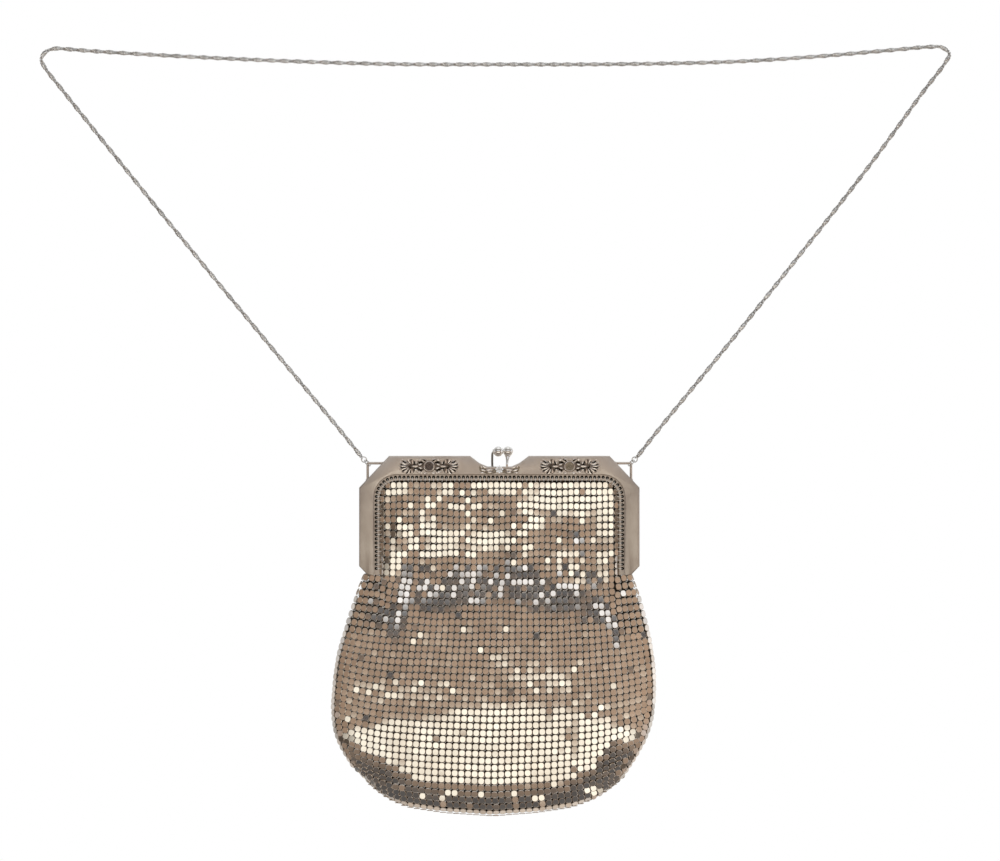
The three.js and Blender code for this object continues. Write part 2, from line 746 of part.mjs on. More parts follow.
addPiece('front_frame', frontFrame(), stampedMetal);
addPiece('back_frame', backFrame(), stampedMetal);
addPiece('front_clasp', frontClasp(), polishedMetal);
addPiece('back_clasp', backClasp(), polishedMetal);
addPiece('left_hinge_pin', hingePin(-1), stampedMetal);
addPiece('right_hinge_pin', hingePin(1), stampedMetal);
addPiece('left_chain_ring', chainRing(-1), chainMetal);
addPiece('right_chain_ring', chainRing(1), chainMetal);
addPiece('chain', ropeChain(), chainMetal);
addPiece('mesh_bag', meshBag(), meshMetal);

export default purse;
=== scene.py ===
# %% [markdown]
# # A metal mesh purse on a long rope chain
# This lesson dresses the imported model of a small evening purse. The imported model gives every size
# and place. Each step below says what a piece or a finish is on the real purse, how it could be
# made in Blender, and why it is made in this way.

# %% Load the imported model
import math

import bmesh
import bpy
import numpy as np
from mathutils import Matrix, Vector


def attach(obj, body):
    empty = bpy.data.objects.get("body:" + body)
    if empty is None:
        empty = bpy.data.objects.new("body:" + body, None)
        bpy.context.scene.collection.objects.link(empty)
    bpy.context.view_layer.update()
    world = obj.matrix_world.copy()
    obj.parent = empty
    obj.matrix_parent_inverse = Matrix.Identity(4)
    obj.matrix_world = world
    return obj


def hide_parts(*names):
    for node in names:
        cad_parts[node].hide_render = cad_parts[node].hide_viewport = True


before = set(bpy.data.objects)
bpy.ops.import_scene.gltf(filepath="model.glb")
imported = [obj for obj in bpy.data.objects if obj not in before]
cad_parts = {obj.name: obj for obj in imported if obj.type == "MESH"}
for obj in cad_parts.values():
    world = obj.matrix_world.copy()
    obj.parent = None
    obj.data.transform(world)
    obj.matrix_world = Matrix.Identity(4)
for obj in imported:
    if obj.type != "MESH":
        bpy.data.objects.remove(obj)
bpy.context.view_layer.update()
print("packed nodes:", sorted(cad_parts))

# %% [markdown]
# ## Camera
# The purse was seen from straight in front and from a distance, so its sides look parallel. A long
# lens 1.6 m away gives that view. The field of view is worked out from the width that the picture
# covers at the purse, which is 460 mm.

# %% Camera
view_width = 0.46
view_distance = 1.6
sensor_width = 36

lens = bpy.data.cameras.new("camera")
lens.sensor_width = sensor_width
lens.lens = sensor_width * view_distance / view_width
camera = bpy.data.objects.new("camera", lens)
camera.location = (0.0003, -view_distance, -0.1684)
camera.rotation_euler = (math.radians(90), 0, 0)
bpy.context.scene.collection.objects.link(camera)
bpy.context.scene.camera = camera
print("lens:", round(lens.lens, 1), "mm")

# %% [markdown]
# ## Studio
# Polished metal has hardly any colour of its own: it shows the room. Here the room is drawn in the
# world as bands of light by height: a dark strip of floor, a low white softbox, a brown wall, a
# dark gap, a cool softbox and a white ceiling, with pale paper at the sides that lights the rims.
# Flat plates of the mesh that lean a few degrees catch a softbox and turn white, and upright ones
# stay brown, which is what makes a mesh purse sparkle. The camera and the matt floor meet a plain
# white ground, because the world asks which kind of ray looks at it.

# %% Shader helpers
def add_node(tree, kind, inputs=None, **settings):
    """Add a node, set its properties and give its input sockets values or links."""
    node = tree.nodes.new(kind)
    for key, value in settings.items():
        setattr(node, key, value)
    for socket, value in (inputs or {}).items():
        if isinstance(value, bpy.types.NodeSocket):
            tree.links.new(value, node.inputs[socket])
        else:
            node.inputs[socket].default_value = value
    return node


def compute(tree, operation, *values):
    """Add a Math node and return its result."""
    return add_node(tree, "ShaderNodeMath", dict(enumerate(values)), operation=operation).outputs[0]


def map_range(tree, value, low, high, start=0.0, end=1.0):
    """Map a value from one range to another, stopping at both ends."""
    return add_node(tree, "ShaderNodeMapRange", {
        "Value": value, "From Min": low, "From Max": high, "To Min": start, "To Max": end,
    }).outputs["Result"]


def mix_colours(tree, factor, first, second):
    return add_node(tree, "ShaderNodeMix", {
        "Factor": factor, "A": first, "B": second,
    }, data_type="RGBA").outputs["Result"]


def scale_colour(tree, colour, share):
    return add_node(tree, "ShaderNodeVectorMath", {
        0: colour, "Scale": share,
    }, operation="SCALE").outputs[0]


def add_ramp(tree, fac, stops):
    """Add a colour ramp whose stops are (place, (red, green, blue))."""
    ramp = add_node(tree, "ShaderNodeValToRGB", {"Fac": fac})
    bands = ramp.color_ramp
    while len(bands.elements) < len(stops):
        bands.elements.new(0.5)
    for element, (place, colour) in zip(bands.elements, stops):
        element.position = place
        element.color = (*colour, 1)
    return ramp.outputs["Color"]


# %% World
# Height of the direction from -1, straight down, to 1, straight up, with the light seen there
room_bands = [
    (-1.0, (0.62, 0.52, 0.43)),
    (-0.93, (0.56, 0.46, 0.38)),
    (-0.88, (0.30, 0.23, 0.18)),
    (-0.80, (0.11, 0.11, 0.115)),
    (-0.70, (0.11, 0.11, 0.115)),
    (-0.62, (0.30, 0.23, 0.18)),
    (-0.40, (0.42, 0.31, 0.24)),
    (-0.35, (1.31, 1.28, 1.16)),
    (-0.13, (1.31, 1.28, 1.16)),
    (-0.085, (0.46, 0.33, 0.245)),
    (0.10, (0.43, 0.31, 0.23)),
    (0.14, (0.10, 0.10, 0.105)),
    (0.24, (0.055, 0.06, 0.075)),
    (0.29, (0.38, 0.39, 0.41)),
    (0.34, (1.15, 1.17, 1.22)),
    (0.46, (1.15, 1.17, 1.22)),
    (0.54, (0.28, 0.27, 0.25)),
    (0.88, (0.38, 0.36, 0.34)),
    (0.94, (1.0, 1.0, 1.0)),
    (1.0, (1.0, 1.0, 1.0)),
]
# Beside the softboxes the room is dark at their height
aside_dark = (0.10, 0.08, 0.065)
aside_bands = [(z, colour if max(colour) < 1 else aside_dark) for z, colour in room_bands]
# Grey of the paper round the purse, by the direction away from the camera
paper_greys = [(-0.05, 0.0), (0.25, 0.5), (0.72, 0.5), (0.9, 0.0)]
paper_bands = [(place, (grey,) * 3) for place, grey in paper_greys]
softbox_end, side_softbox, side_strength = (0.5, 0.68), (0.86, 0.95), 0.7
softbox_colour, ground_white = (0.95, 0.96, 1.0, 1), (1, 1, 1, 1)
right_gain = 0.22

world = bpy.data.worlds.new("studio")
bpy.context.scene.world = world
world.use_nodes = True
room = world.node_tree
room.nodes.clear()
direction = add_node(room, "ShaderNodeTexCoord").outputs["Generated"]
sideways, onwards, upwards = add_node(room, "ShaderNodeSeparateXYZ", {"Vector": direction}).outputs


def bands_along(part, bands):
    """Bands of light along one part of the direction, which runs from -1 to 1."""
    share = compute(room, "MULTIPLY_ADD", part, 0.5, 0.5)
    return add_ramp(room, share, [((place + 1) / 2, colour) for place, colour in bands])


off_middle = compute(room, "ABSOLUTE", sideways)
ahead, aside = bands_along(upwards, room_bands), bands_along(upwards, aside_bands)
walls = mix_colours(room, map_range(room, off_middle, *softbox_end), ahead, aside)
side_light = map_range(room, off_middle, *side_softbox, 0.0, side_strength)
walls = mix_colours(room, side_light, walls, softbox_colour)
walls = mix_colours(room, bands_along(onwards, paper_bands), walls, ground_white)
lit_walls = scale_colour(room, walls, compute(room, "MULTIPLY_ADD", sideways, right_gain, 1.0))
ray = add_node(room, "ShaderNodeLightPath").outputs
plain = compute(room, "MAXIMUM", ray["Is Camera Ray"], ray["Is Diffuse Ray"])
seen = mix_colours(room, plain, lit_walls, ground_white)
background = add_node(room, "ShaderNodeBackground", {"Color": seen})
add_node(room, "ShaderNodeOutputWorld", {"Surface": background.outputs[0]})
bpy.context.scene.view_settings.view_transform = "Standard"
print("studio bands:", len(room_bands))

# %% [markdown]
# ## Floor
# The purse hangs, so nothing touches the floor. A pale floor well below it only grounds the other
# views. It is kept out of the reflections, where it would add a second softbox.

# %% Floor
floor_height = -0.42
floor_size = 0.84

bpy.ops.object.select_all(action="DESELECT")
bpy.ops.mesh.primitive_plane_add(size=floor_size, location=(0, 0, floor_height))
floor = bpy.context.object
floor.name = "floor"
floor.visible_glossy = False
bpy.ops.object.transform_apply(location=True, rotation=False, scale=False)
paper = bpy.data.materials.new("pale paper")
paper.use_nodes = True
paper_inputs = paper.node_tree.nodes["Principled BSDF"].inputs
paper_inputs["Base Color"].default_value = (0.86, 0.86, 0.85, 1)
paper_inputs["Roughness"].default_value = 0.8
floor.data.materials.append(paper)
print("floor at", floor_height, "m")

# %% [markdown]
# ## Finishes
# The purse is metal all over, but it has aged unevenly: satin nickel on the stamped frame, black
# tarnish in the recesses, bright wear on the raised relief. Some finishes carry painted light as
# well: a painted highlight on the frame's top bar, painted shade on the plate edges and a black sheet
# of painted shade inside the mesh. One node group, patina, mixes a clean and a dull colour in soft
# clouds and breaks up the roughness with finer grain. Every metal below uses that group with its
# own values, and sets what is the same all over on its own shader.

# %% Patina node group
def build_patina():
    """Make the node group that ages a metal, and return it."""
    group = bpy.data.node_groups.new("patina", "ShaderNodeTree")
    sockets = group.interface
    for name, kind, value in [
        ("Clean Colour", "NodeSocketColor", (0.8, 0.8, 0.8, 1)),
        ("Dull Colour", "NodeSocketColor", (0.4, 0.4, 0.4, 1)),
        ("Cloud Scale", "NodeSocketFloat", 200.0),
        ("Grain Scale", "NodeSocketFloat", 4000.0),
        ("Smoothest", "NodeSocketFloat", 0.2),
        ("Roughest", "NodeSocketFloat", 0.4),
    ]:
        sockets.new_socket(name, in_out="INPUT", socket_type=kind).default_value = value
    sockets.new_socket("Colour", in_out="OUTPUT", socket_type="NodeSocketColor")
    sockets.new_socket("Roughness", in_out="OUTPUT", socket_type="NodeSocketFloat")
    sockets.new_socket("Height", in_out="OUTPUT", socket_type="NodeSocketFloat")
    given = add_node(group, "NodeGroupInput").outputs
    place = add_node(group, "ShaderNodeTexCoord").outputs["Object"]
    clouds = add_node(group, "ShaderNodeTexNoise", {
        "Vector": place, "Scale": given["Cloud Scale"], "Detail": 4.0, "Roughness": 0.6,
    }).outputs["Fac"]
    cover = map_range(group, clouds, 0.35, 0.7)
    grain = add_node(group, "ShaderNodeTexNoise", {
        "Vector": place, "Scale": given["Grain Scale"], "Detail": 2.0,
    }).outputs["Fac"]
    both = compute(group, "MULTIPLY_ADD", grain, 0.5, cover)
    rough = map_range(group, both, 0.1, 1.3, given["Smoothest"], given["Roughest"])
    colour = mix_colours(group, cover, given["Clean Colour"], given["Dull Colour"])
    given_back = add_node(group, "NodeGroupOutput")
    for socket, value in [("Colour", colour), ("Roughness", rough), ("Height", grain)]:
        group.links.new(value, given_back.inputs[socket])
    return group


patina = build_patina()
print("patina inputs:", len(patina.interface.items_tree))


# %% Metal maker
def make_metal(name, clean, dull, smoothest, roughest, cloud_scale=200.0, grain_scale=4000.0,
               bump=0.02, metallic=1.0, tone=None):
    """A metal whose colour and roughness come from the patina group. Tone names an attribute
    that makes each copy of a repeated piece a little lighter or darker."""
    material = bpy.data.materials.new(name)
    material.use_nodes = True
    tree = material.node_tree
    shader = tree.nodes["Principled BSDF"]
    shader.inputs["Metallic"].default_value = metallic
    aged = add_node(tree, "ShaderNodeGroup", node_tree=patina)
    for socket, value in [
        ("Clean Colour", (*clean, 1)), ("Dull Colour", (*dull, 1)), ("Cloud Scale", cloud_scale),
        ("Grain Scale", grain_scale), ("Smoothest", smoothest), ("Roughest", roughest),
    ]:
        aged.inputs[socket].default_value = value
    colour = aged.outputs["Colour"]
    if tone:
        shade = add_node(tree, "ShaderNodeAttribute", attribute_name=tone).outputs["Fac"]
        colour = scale_colour(tree, colour, shade)
    tree.links.new(colour, shader.inputs["Base Color"])
    tree.links.new(aged.outputs["Roughness"], shader.inputs["Roughness"])
    relief = add_node(tree, "ShaderNodeBump", {
        "Height": aged.outputs["Height"], "Strength": bump, "Distance": 0.0002,
    })
    tree.links.new(relief.outputs["Normal"], shader.inputs["Normal"])
    return material


def paint_light_upwards(material, low, high, gain):
    """Make a metal lighter from one height up to another: a painted highlight for the light that
    falls on the upper part.
    """
    tree = material.node_tree
    base = tree.nodes["Principled BSDF"].inputs["Base Color"]
    place = add_node(tree, "ShaderNodeTexCoord").outputs["Object"]
    parts = add_node(tree, "ShaderNodeSeparateXYZ", {"Vector": place}).outputs
    shade = map_range(tree, parts["Z"], low, high, 1.0, gain)
    tree.links.new(scale_colour(tree, base.links[0].from_socket, shade), base)


# %% The purse's metals
satin_nickel = make_metal("satin nickel", (0.60, 0.55, 0.50), (0.50, 0.44, 0.39), 0.34, 0.46,
                          cloud_scale=60, bump=0.12)
# Painted highlight: the frame's top bar is made a quarter lighter for the light that it catches.
paint_light_upwards(satin_nickel, -0.193, -0.186, 1.25)
# Black tarnish for the slots and grooves of the ornament, and painted shade on the dark shell and
# hems inside the mesh.
black_tarnish_and_shade = make_metal("black tarnish and painted shade", (0.055, 0.045, 0.035), (0.02, 0.017, 0.014), 0.5, 0.75,
                           cloud_scale=900, bump=0.3)
dark_dish = make_metal("dark dish", (0.20, 0.165, 0.15), (0.10, 0.085, 0.075), 0.35, 0.5,
                       cloud_scale=1500, bump=0.3)
dull_dish = make_metal("dull dish", (0.40, 0.35, 0.28), (0.26, 0.22, 0.17), 0.35, 0.5,
                       cloud_scale=900, bump=0.2)
bed_tarnish = make_metal("tarnished bed", (0.26, 0.22, 0.19), (0.13, 0.105, 0.085), 0.4, 0.6,
                         cloud_scale=900, bump=0.3)
worn_relief = make_metal("worn relief", (0.95, 0.88, 0.82), (0.70, 0.62, 0.56), 0.2, 0.34,
                         cloud_scale=900, bump=0.1)
polished_silver = make_metal("polished silver", (0.95, 0.94, 0.92), (0.86, 0.84, 0.81), 0.12, 0.24,
                             cloud_scale=300)
chain_silver = make_metal("chain silver", (0.84, 0.84, 0.83), (0.56, 0.56, 0.55), 0.2, 0.34,
                          cloud_scale=150)
dull_silver = make_metal("dull silver", (0.36, 0.36, 0.35), (0.24, 0.24, 0.23), 0.25, 0.4)
plate_silver = make_metal("plate silver", (0.88, 0.83, 0.76), (0.80, 0.73, 0.65), 0.12, 0.19,
                          cloud_scale=70, bump=0.01, tone="tone")
# Painted shade: the plates' shoulders are darker than their faces, to draw the dark lines between
# plates.
plate_edge_shade = make_metal("plate edge shade", (0.70, 0.63, 0.55), (0.50, 0.44, 0.37), 0.2, 0.32)
# The wire of the links is frosted, so it also scatters light and shows as pale specks
link_wire = make_metal("link wire", (0.92, 0.90, 0.86), (0.66, 0.62, 0.56), 0.2, 0.4, metallic=0.4)
print("metals:", len([m for m in bpy.data.materials if m.node_tree]))

# %% [markdown]
# ## Helpers for modelling
# Every piece is modelled in millimetres at its true place and is scaled to metres at the end, when
# it also gets its name, its finish and the body that it rides on. An outline is drawn as edges,
# filled, and pulled back into a plate, as one would by hand with F and E.

# %% Selection and edit mode
def make_active(piece):
    """Select one object alone."""
    bpy.ops.object.select_all(action="DESELECT")
    piece.select_set(True)
    bpy.context.view_layer.objects.active = piece


def edit(piece):
    """Enter edit mode with everything selected."""
    make_active(piece)
    bpy.ops.object.mode_set(mode="EDIT")
    bpy.ops.mesh.select_all(action="SELECT")


def leave_edit():
    bpy.ops.object.mode_set(mode="OBJECT")


def close_up(merge=0.0):
    """Merge doubles closer than a distance, turn all faces outwards and leave edit mode."""
    bpy.ops.mesh.select_all(action="SELECT")
    if merge:
        bpy.ops.mesh.remove_doubles(threshold=merge)
    bpy.ops.mesh.normals_make_consistent(inside=False)
    leave_edit()


def select_edges(piece, chosen):
    """In edit mode, select the edges that a test chooses."""
    bpy.ops.mesh.select_all(action="DESELECT")
    bpy.ops.mesh.select_mode(type="EDGE")
    shape = bmesh.from_edit_mesh(piece.data)
    for edge in shape.edges:
        edge.select_set(bool(chosen(edge)))
    bmesh.update_edit_mesh(piece.data)


# %% Finish a piece
body = "root"
to_metres = Matrix.Scale(0.001, 4)
smooth_angle = math.radians(32)


def finish_piece(piece, name, material, replaced=(), angle=smooth_angle):
    """Scale a piece to metres, name it, shade it and let it ride on the purse."""
    piece.name = piece.data.name = name
    piece.data.transform(to_metres)
    if not piece.data.materials:
        piece.data.materials.append(material)
    make_active(piece)
    bpy.ops.object.shade_smooth_by_angle(angle=angle)
    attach(piece, body)
    if replaced:
        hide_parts(*replaced)
    piece.data.calc_loop_triangles()
    print(name, "has", len(piece.data.loop_triangles), "triangles")
    return piece


# %% Plates from outlines
def draw_lines(name, lines, depth, closed=True):
    """Draw [x, z] lines as edges at one depth."""
    points, edges = [], []
    for line in lines:
        first = len(points)
        points += [(x, depth, z) for x, z in line]
        count = len(line) if closed else len(line) - 1
        edges += [(first + i, first + (i + 1) % len(line)) for i in range(count)]
    mesh = bpy.data.meshes.new(name)
    mesh.from_pydata(points, edges, [])
    piece = bpy.data.objects.new(name, mesh)
    bpy.context.scene.collection.objects.link(piece)
    return piece


def plate(name, lines, near, far):
    """Fill closed outlines, the later ones as holes, and extrude them into a plate."""
    piece = draw_lines(name, lines, near)
    edit(piece)
    if len(lines) == 1:
        bpy.ops.mesh.edge_face_add()
    else:
        bpy.ops.mesh.fill()
    bpy.ops.mesh.select_all(action="SELECT")
    bpy.ops.mesh.extrude_region_move(TRANSFORM_OT_translate={"value": (0, far - near, 0)})
    close_up()
    return piece


# %% Joining and cutting
def combine(piece, other, operation="UNION"):
    """Join another piece to this one, or cut it away."""
    change = piece.modifiers.new("combine", "BOOLEAN")
    change.operation = operation
    change.solver = "EXACT"
    change.object = other
    make_active(piece)
    bpy.ops.object.modifier_apply(modifier=change.name)
    bpy.data.objects.remove(other)
    return piece


def join_pieces(pieces):
    """Put several meshes into the first one's object."""
    make_active(pieces[0])
    for piece in pieces[1:]:
        piece.select_set(True)
    bpy.ops.object.join()
    return pieces[0]


def round_edges(piece, depth, width, segments=3):
    """Bevel the sharp edges of a plate's face that lies at one depth."""
    edit(piece)
    select_edges(piece, lambda edge: all(abs(v.co.y - depth) < 1e-4 for v in edge.verts)
                 and len(edge.link_faces) == 2 and edge.calc_face_angle(0) > 1)
    bpy.ops.mesh.bevel(offset=width, segments=segments, affect="EDGES", clamp_overlap=True)
    leave_edit()
    return piece


# %% [markdown]
# ## Outlines of the frame
# The two halves of the frame are stamped from sheet metal with the same outline: a wide U with cut
# corners and a notch in the middle of its top, where the clasp stands. The points follow the sizes
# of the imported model. The inner edge has round upper corners.

# %% Frame outlines
gap = 0.3
frame_top = -180.1
frame_width, frame_height = 128.6, 54.6
top_width, upper_chamfer = 101.2, 14.5
chamfer_inset, chamfer_rise = 3.9, 4.1
bar_height, leg_width, inner_corner = 8.7, 6.8, 10.5
notch_widths, notch_depths = (27.1, 18.4, 11), (0, 3.3, 4.9)
leg_end = frame_top - frame_height
opening_half = frame_width / 2 - leg_width
opening_top = frame_top - bar_height
notch_floor = frame_top - notch_depths[2]


def mirrored(line):
    return [(-x, z) for x, z in reversed(line)]


def frame_edge():
    """Outer edge from the end of the left leg over the top to the end of the right leg."""
    notch = [(w / 2, frame_top - d) for w, d in zip(notch_widths[::-1], notch_depths[::-1])]
    right = notch + [
        (top_width / 2, frame_top),
        (frame_width / 2, frame_top - upper_chamfer),
        (frame_width / 2, leg_end + chamfer_rise),
        (frame_width / 2 - chamfer_inset, leg_end),
        (opening_half, leg_end),
    ]
    return mirrored(right) + right


def opening_edge(inset, steps=10):
    """Edge of the frame's opening, moved inwards, from the left leg to the right leg."""
    half, top, radius = opening_half - inset, opening_top - inset, inner_corner - inset
    right = []
    for i in range(steps + 1):
        angle = (1 - i / steps) * math.pi / 2
        right.append((half - radius + radius * math.cos(angle),
                      top - radius + radius * math.sin(angle)))
    right.append((half, leg_end))
    return mirrored(right) + right


def band(outer, inner):
    """Area between two lines that run the same way."""
    return outer + inner[::-1]


def moved_in(line, distance):
    """Move an open line sideways into the metal, with its corners kept sharp."""
    points = [Vector(point) for point in line]
    normals = [Vector((b.y - a.y, a.x - b.x)).normalized() for a, b in zip(points, points[1:])]
    moved = []
    for i, point in enumerate(points):
        before, after = normals[max(i - 1, 0)], normals[min(i, len(normals) - 1)]
        moved.append(tuple(point + (before + after) * distance / (1 + before.dot(after))))
    return moved


print("outline points:", len(frame_edge()), "outside,", len(opening_edge(0)), "inside")

# %% [markdown]
# ## Link holes
# The mesh hangs from small rings that pass through a row of holes in the recessed flange. The
# holes are spread evenly along a line that follows the opening. They are drawn as circles inside
# the flange's outline, so that filling the outline leaves them open.

# %% Hole places
hole_inset, hole_margin, hole_pitch, hole_radius = 1.0, 3.0, 1.94, 0.76


def along_line(points, spacing):
    """Points at an even spacing along a line, with the direction of the line at each."""
    points = np.array(points, float)
    lengths = np.concatenate([[0], np.cumsum(np.linalg.norm(np.diff(points, axis=0), axis=1))])
    count = round(lengths[-1] / spacing)
    marks = np.linspace(0, lengths[-1], count + 1)
    reach = 0.2 * spacing
    spots = np.stack([np.interp(marks, lengths, column) for column in points.T], axis=1)
    ahead = np.stack([np.interp(marks + reach, lengths, column) for column in points.T], axis=1)
    behind = np.stack([np.interp(marks - reach, lengths, column) for column in points.T], axis=1)
    ways = ahead - behind
    return spots, ways / np.linalg.norm(ways, axis=1, keepdims=True)


hole_line = opening_edge(hole_inset)
hole_line = [(x, max(z, leg_end + hole_margin)) for x, z in hole_line]
hole_spots, hole_ways = along_line(hole_line, hole_pitch)
# The back half's holes lie between the front half's, so that no light falls straight through
back_spots = (hole_spots[1:] + hole_spots[:-1]) / 2


def circle(x, z, radius, sides):
    turns = [2 * math.pi * i / sides for i in range(sides)]
    return [(x + radius * math.cos(turn), z + radius * math.sin(turn)) for turn in turns]


print("link holes in a half:", len(hole_spots))

# %% [markdown]
# ## Beds of the ornament
# Two long leaf panels and a small sprig in the notch are pressed into the front half. Their
# background is a sunken bed that has gone dark, and the leaves stand up in it. The beds are cut
# out of the plate with a boolean, which keeps a true step, and are closed behind by a dark sheet.

# %% Bed outlines
panel_offset, panel_half, panel_rise = 32.2, 13.6, 3.4
panel_middle = frame_top - bar_height / 2 - 0.35
# A quarter of a panel's outline as shares of its half width and half height
bed_quarter = [
    (0.0, 0.80), (0.11, 0.72), (0.17, 0.50), (0.24, 0.62), (0.31, 0.66), (0.37, 0.40),
    (0.46, 0.52), (0.52, 0.86), (0.60, 0.96), (0.70, 0.84), (0.74, 0.66), (0.86, 0.62),
    (0.89, 0.38), (0.97, 0.24), (0.99, 0.0),
]
# The bed beside the flower in the notch, as [x, z] from the notch's floor
sprig_bed = [
    (1.3, -1.0), (3.4, -0.9), (5.2, -0.7), (7.2, 0.1), (8.8, 0.5), (9.4, -0.4), (9.0, -1.8),
    (8.0, -2.8), (6.0, -3.2), (3.0, -3.2), (1.3, -2.8),
]


def bed_outline(centre):
    quarter = [(x * panel_half, z * panel_rise) for x, z in bed_quarter]
    upper = [(-x, z) for x, z in quarter[:0:-1]] + quarter
    lower = [(x, -z) for x, z in upper[-2:0:-1]]
    return [(centre + x, panel_middle + z) for x, z in upper + lower]


def sprig_outline(side):
    line = [(side * x, notch_floor + z) for x, z in sprig_bed]
    return line if side > 0 else line[::-1]


bed_lines = [bed_outline(-panel_offset), bed_outline(panel_offset),
             sprig_outline(-1), sprig_outline(1)]
print("beds:", len(bed_lines))

# %% [markdown]
# ## The stamped halves
# A half is a face plate with rounded outer edges, a rim that turns back towards the other half, a
# step round the opening and a thin flange with the link holes. Each is a plate of its own that is
# then joined to one closed body. The front half gets its beds before the joining.

# %% Half frame
half_depth, plate_thickness, edge_round = 5.5, 1.2, 0.5
rim_thickness, step_thickness = 1.0, 0.8
flange_front, flange_back, flange_width = 4.2, 3.4, 2.5
bed_depth = 0.4


def make_half(side, beds=()):
    """One stamped half. Side is -1 for the front and 1 for the back."""
    edge = frame_edge()
    face, back = side * half_depth, side * (half_depth - plate_thickness)
    half = plate("half", [band(edge, opening_edge(0))], face, back)
    round_edges(half, face, edge_round)
    for line in beds:
        bed = plate("bed", [line], face + 0.3 * side, face - side * bed_depth)
        combine(half, bed, "DIFFERENCE")
    parting = side * gap / 2
    rim = plate("rim", [band(edge, moved_in(edge, rim_thickness))], back + side * 0.4, parting)
    step = plate("step", [band(opening_edge(-step_thickness), opening_edge(0))],
                 back + side * 0.4, side * flange_back)
    holes = [circle(x, z, hole_radius, 14) for x, z in (hole_spots if side < 0 else back_spots)]
    outline = band(opening_edge(-step_thickness / 2), opening_edge(flange_width))
    flange = plate("flange", [outline] + holes, side * flange_front, side * flange_back)
    combine(half, rim)
    combine(half, step)
    return join_pieces([half, flange])


# %% Hinge ears
ear_thickness, ear_reach, pin_radius = 1.0, 2.2, 0.9
pin_height = leg_end + 5.4
pin_inner = opening_half + step_thickness / 2
front_ear = pin_inner + 0.6 + gap
back_ear = front_ear + ear_thickness + gap


def make_ears(side):
    """The two plates, one in each leg, that a half's hinge turns on."""
    ears = []
    start = front_ear if side < 0 else back_ear
    root = side * (half_depth - plate_thickness / 2)
    for leg in (-1, 1):
        end = [(-side * ear_reach * math.cos(t), pin_height + ear_reach * math.sin(t))
               for t in np.linspace(-math.pi / 2, math.pi / 2, 13)]
        outline = [(root, pin_height - ear_reach)] + end + [(root, pin_height + ear_reach)]
        ear = plate("ear", [outline, circle(0, pin_height, pin_radius + gap, 20)],
                    0, ear_thickness)
        ear.data.transform(Matrix(((0, 1, 0, 0), (1, 0, 0, 0), (0, 0, 1, 0), (0, 0, 0, 1))))
        ear.data.transform(Matrix.Translation((start if leg > 0 else -start - ear_thickness, 0, 0)))
        edit(ear)
        close_up()
        ears.append(ear)
    return ears


# %% Front half
front_half = make_half(-1, bed_lines)
front_half = join_pieces([front_half] + make_ears(-1))
finish_piece(front_half, "front_half", satin_nickel, ["front_frame"])

# %% Dark beds
bed_sheets = [plate("sheet", [line], -half_depth + bed_depth - 0.02, -half_depth + bed_depth + 0.3)
              for line in bed_lines]
for sheet, finish in zip(bed_sheets, (bed_tarnish, bed_tarnish, dull_dish, dull_dish)):
    sheet.data.materials.append(finish)
finish_piece(join_pieces(bed_sheets), "ornament_beds", bed_tarnish)

# %% [markdown]
# ## Leaves
# The ornament is a traditional leaf scroll. One leaf is modelled, and every leaf in it is a copy,
# stretched, turned and moved into place. The leaf starts as a flat outline with its root at the
# origin. Insetting it with some height gives rounded shoulders, and a poke gives a raised rib.

# %% One leaf
leaf_outline = [
    (0.0, 0.0), (0.12, 0.17), (0.35, 0.34), (0.6, 0.5), (0.82, 0.42), (0.96, 0.2),
    (1.0, 0.0), (0.96, -0.2), (0.82, -0.42), (0.6, -0.5), (0.35, -0.34), (0.12, -0.17),
]


def make_leaf():
    """A leaf 1 long, 1 wide and 1 high, which points along +X and rises towards -Y."""
    leaf = draw_lines("leaf", [leaf_outline], 0)
    edit(leaf)
    bpy.ops.mesh.edge_face_add()
    bpy.ops.mesh.extrude_region_move(TRANSFORM_OT_translate={"value": (0, -0.5, 0)})
    bpy.ops.mesh.inset(thickness=0.09, depth=0)
    bpy.ops.transform.translate(value=(0, -0.35, 0))
    bpy.ops.mesh.poke()
    leave_edit()
    for vertex in leaf.data.vertices:
        if vertex.co.y < -0.8 and abs(vertex.co.z) < 0.01:
            vertex.co.y = -0.93
    edit(leaf)
    close_up()
    return leaf


leaf_pattern = make_leaf()
print("faces of a leaf:", len(leaf_pattern.data.polygons))


# %% Copies in one mesh
def read_mesh(mesh):
    """Points, corners and face sizes of a mesh as arrays."""
    points = np.empty(len(mesh.vertices) * 3)
    mesh.vertices.foreach_get("co", points)
    corners = np.empty(len(mesh.loops), int)
    mesh.loops.foreach_get("vertex_index", corners)
    sizes = np.empty(len(mesh.polygons), int)
    mesh.polygons.foreach_get("loop_total", sizes)
    finishes = np.empty(len(mesh.polygons), int)
    mesh.polygons.foreach_get("material_index", finishes)
    return points.reshape(-1, 3), corners, sizes, finishes


